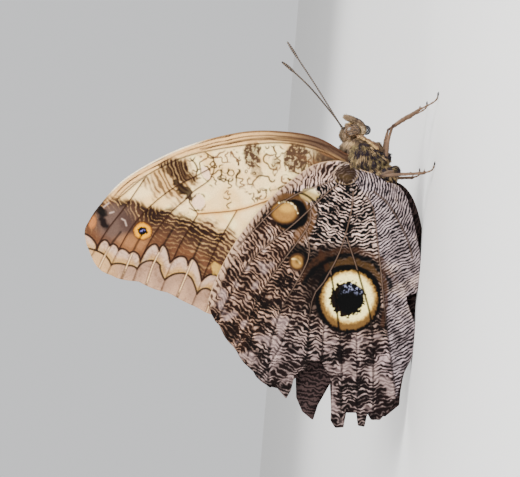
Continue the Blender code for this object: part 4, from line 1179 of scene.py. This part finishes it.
def hair_finish(name, roughness):
    """Hair in the colour of its root, darkened towards the root by painted shade deep in the coat, and paler at the
    tip.
    """
    finish, add, place = new_finish(name)
    strand = add("TexNoise", Vector=place, Scale=1500, Detail=2)
    along = add("Attribute", attribute_name="along", out="Fac")
    # painted shade: each hair darkens towards its root, where it lies deep in the coat
    shades = [add("MapRange", along, 0, 1, 0.45, 1.25), add("MapRange", strand, 0.3, 0.7, 0.65, 1.35)]
    tint = add("Attribute", attribute_name="tint")
    return surface(finish, tint, shades, strand, (roughness - 0.1, roughness + 0.1), Specular_IOR_Level=0.25)


hair_tree = coat_tree()
body_hair = hair_finish("body_hair", 0.7)
soft_tuft = tuft_object("soft_tuft", 5, 0.2, 0.07, 0.42, 401)

# head, chest and belly: backwards along the body, standing up on crown, mane and brow
skin = body_mesh.copy()
skin.materials.clear()
skin.transform(Matrix.Scale(1000, 4))
places, normals = rows_of(skin.vertices), rows_of(skin.vertex_normals, "vector")
x, y, z = places.T
tail = rise(15.5 - x, 4)
head = rise(x, 26, 28)
face = rise(x, 28.6, 29.8)
crown = rise(z - 0.9 * (x - 27), 21.2, 22.6) * rise(x, 23.6, 25.4)
brow = face * rise(z, 20.4, 21.6)
mane = rise(z - 0.9 * (x - 27), 19.2, 20.8) * rise(x, 19, 21) * rise(26.5 - x, 1)
shoulder = rise(3.6 - np.hypot(x - 23, z - 19.6), 1.6) * rise(np.abs(y), 1, 2.5)
chest_axis = np.array((-math.cos(THORAX_PITCH), 0, -math.sin(THORAX_PITCH)))
lie = paint(chest_axis, np.array(axis.normalized()), tail)
lie = lie + np.stack([0 * x, 0.25 * np.sign(y) * rise(np.abs(y), 2), -0.15 + 0.6 * crown], axis=1)
lie -= normals * (lie * normals).sum(axis=1)[:, None] * 0.9
lie /= np.linalg.norm(lie, axis=1)[:, None] + 1e-6
lie += normals * (1.1 * crown + 0.25 * shoulder)[:, None]
lie = paint(lie, np.array((0.75, 0, 0.65)), brow) + np.array((0.1, 0, 0.9)) * mane[:, None]
reach = 1.15 - 0.45 * head - 0.2 * face + 1.4 * crown - 0.25 * tail + 0.9 * shoulder + 0.7 * brow
reach += 0.45 * rise(15.5 - z + 0.8 * (x - 20), 3) * (1 - head) + 0.8 * mane
middle = np.interp(x, [-8, 15, 21, 28], [5.6, 12.6, 15.9, 21.3])
root_uv = np.stack([(x + 8) / 40, 0.5 + np.arctan2(y, z - middle) / math.tau], axis=1)
eye_gap = np.min([np.linalg.norm((places - (EYE_CENTRE[0], side * EYE_CENTRE[1], EYE_CENTRE[2])) / EYE_SIZE, axis=1)
                  for side in (-1, 1)], axis=0)
rim = rise(1.65 - eye_gap, 0.3) * head * rise(21.9 - z + 0.5 * (x - 28.5), 0.8)
tint = paint(coat_colours(x, y, z), (222, 204, 174), rim * 0.85)
tint = paint(tint, tone(188, 172, 152) * (1 + 0.6 * cloud(x * 2, y + z, 0.9, 509)[:, None]), crown * 0.5)
chest = rise(26.4 - x, 0.5) * rise(x, 14.5, 15.5)
for name, where, density, stand, seed in (
        ("coat_head", rise(x, 26, 26.6), 34, 0.55, 11), ("coat_chest_left", chest * (y > 0), 23, 0.42, 12),
        ("coat_chest_right", chest * (y <= 0), 23, 0.42, 13), ("coat_belly", rise(15.3 - x, 0.8), 9, 0.3, 14)):
    piece = grow_coat(name, skin.copy(), lie, reach, where * rise(eye_gap, 1.05, 1.2), tint, root_uv, body_hair,
                      Tuft=soft_tuft, Density=density, Stand=stand, Disorder=0.24, Seed=seed)
    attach(piece, "root")

# palps: upright scales, longer behind, dark blue grey at the lower front
for side_name, skin in palp_cores.items():
    x, y, z = rows_of(skin.vertices).T
    normals = rows_of(skin.vertex_normals, "vector")
    front = rise(x - 0.35 * (z - 18), 28.8, 30.4)
    below = rise(normals[:, 0] - 0.4 * normals[:, 2], 0.5, 0.9) * rise(21 - z, 1)
    behind = rise(-normals[:, 0], 0.1, 0.7) * rise(z, 19.5, 21) * rise(23.2 - z, 0.8)
    tint = paint(tone(206, 190, 168), (132, 112, 96), front * (0.75 + 0.5 * cloud(x, z, 0.6, 501)))
    tint = paint(tint, (84, 82, 104), below)
    reach = 0.8 - 0.5 * rise(z, 21, 23.5) + 1.1 * behind
    root_uv = np.stack([(z - 17) / 8, 0.5 + 0.4 * normals[:, 1]], axis=1)
    lie = normals * 0.2 + (0.3, 0, 0.9)
    piece = grow_coat(f"coat_palp_{side_name}", skin, lie, reach, 1, tint, root_uv, body_hair,
                      Tuft=soft_tuft, Density=46, Stand=0.3, Disorder=0.26, Seed=21)
    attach(piece, "root")

# legs: flat scales along every part, longer under the shins, a loose brush on the forelegs
leg_hair = hair_finish("leg_hair", 0.65)
scale_tuft = tuft_object("scale_tuft", 3, 0.3, 0.13, 0.3, 402)
for (leg_name, side_name), skin in coat_sources.items():
    places, normals = rows_of(skin.vertices), rows_of(skin.vertex_normals, "vector")
    line = leg_lines[leg_name, side_name]
    best = np.full(len(places), np.inf)
    lie, along = np.zeros(places.shape), np.zeros(len(places))
    for index, (start, end) in enumerate(zip(line, line[1:])):
        run = end - start
        share = np.clip((places - start) @ run / (run @ run), 0, 1)
        gap = np.linalg.norm(places - start - share[:, None] * run, axis=1)
        nearer = gap < best - 1e-6
        best = np.where(nearer, gap, best)
        lie[nearer] = unit(run)
        along = np.where(nearer, (index + share) / (len(line) - 1), along)
    grain = cloud(places[:, 0] * 2 + places[:, 1], places[:, 2], 0.7, 511)
    tint = tone(164, 140, 118) * (1 + 0.5 * grain[:, None])
    root_uv = np.stack([along, 0.5 + 0.4 * normals[:, 1]], axis=1)
    if leg_name == "foreleg":
        # on the forelegs, painted light and shade: paler where the brush faces up, darker where it faces down
        upper = rise(normals[:, 2] - 0.4 * normals[:, 0], -0.1, 0.6)
        tint = paint(tint, (216, 196, 164), upper * 0.85)
        tint = paint(tint, (122, 96, 74), rise(-normals[:, 2], 0.1, 0.7) * 0.8)
        reach, thick, stand = 0.85 + 0.35 * (1 - upper), 1, 0.5
    else:
        foot = rise(along, 0.5, 0.6)
        shin = rise(along, 0.25, 0.3) * rise(0.55 - along, 0.1)
        tint = paint(tint, (112, 86, 68), rise(1.5 - np.linalg.norm(places - line[1], axis=1), 1.2) * 0.8)
        tint = paint(tint, (100, 80, 66), rise(along, 0.5, 0.9) * 0.85)
        reach = 0.45 + 0.5 * shin * rise(-normals[:, 2], -0.2, 0.6) - 0.2 * foot
        thick, stand = 1 - 0.8 * foot, 0.28
    piece = grow_coat(f"coat_{leg_name}_{side_name}", skin, lie, reach, thick, tint, root_uv, leg_hair,
                      Tuft=scale_tuft, Density=16, Stand=stand, Disorder=0.2, Seed=31)
    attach(piece, "root")


# FLOOR, LIGHT AND VIEW
# A plain pale floor, three large soft lamps and the viewpoint of the picture, whose
# upper edge looks forward along the insect.
FLOOR_HALF = 3.0
LAMPS = {
    "key": ((0.25, -0.45, 0.40), 0.35, 8),
    "fill": ((-0.35, -0.40, 0.15), 0.4, 2.2),
    "back": ((0.1, 0.5, 0.45), 0.4, 2.6),
}
LAMP_AIM = Vector((0, 0, 0.035))
VIEW_PLACE = (-0.002426, -0.4, 0.04352)
VIEW_TILT = math.radians(4.7)
VIEW_LENS = 102.56

floor_mesh = bpy.data.meshes.new("floor")
floor_mesh.from_pydata([(x * FLOOR_HALF, y * FLOOR_HALF, 0) for x, y in ((-1, -1), (1, -1), (1, 1), (-1, 1))],
                       [], [(0, 1, 2, 3)])
floor = in_scene("floor", floor_mesh)
paper = bpy.data.materials.new("pale_paper")
paper.use_nodes = True
fill_in(paper.node_tree.nodes["Principled BSDF"], (0.80, 0.79, 0.77, 1), Roughness=0.9)
floor_mesh.materials.append(paper)

world = bpy.data.worlds.new("studio")
bpy.context.scene.world = world
world.use_nodes = True
fill_in(world.node_tree.nodes["Background"], (0.97, 0.98, 1, 1), 0.85)
for name, (place, size, power) in LAMPS.items():
    lamp = bpy.data.lights.new(name, "AREA")
    lamp.size, lamp.energy = size, power
    holder = in_scene(name, lamp)
    holder.location = place
    holder.rotation_euler = (LAMP_AIM - holder.location).to_track_quat("-Z", "Y").to_euler()

lens = bpy.data.cameras.new("view")
lens.sensor_width, lens.lens, lens.clip_start = 36, VIEW_LENS, 0.01
camera = in_scene("view", lens)
right = Vector((math.sin(VIEW_TILT), 0, -math.cos(VIEW_TILT)))
up = Vector((math.cos(VIEW_TILT), 0, math.sin(VIEW_TILT)))
aim = Matrix((right, up, Vector((0, -1, 0)))).transposed().to_4x4()
camera.matrix_world = Matrix.Translation(VIEW_PLACE) @ aim
bpy.context.scene.camera = camera
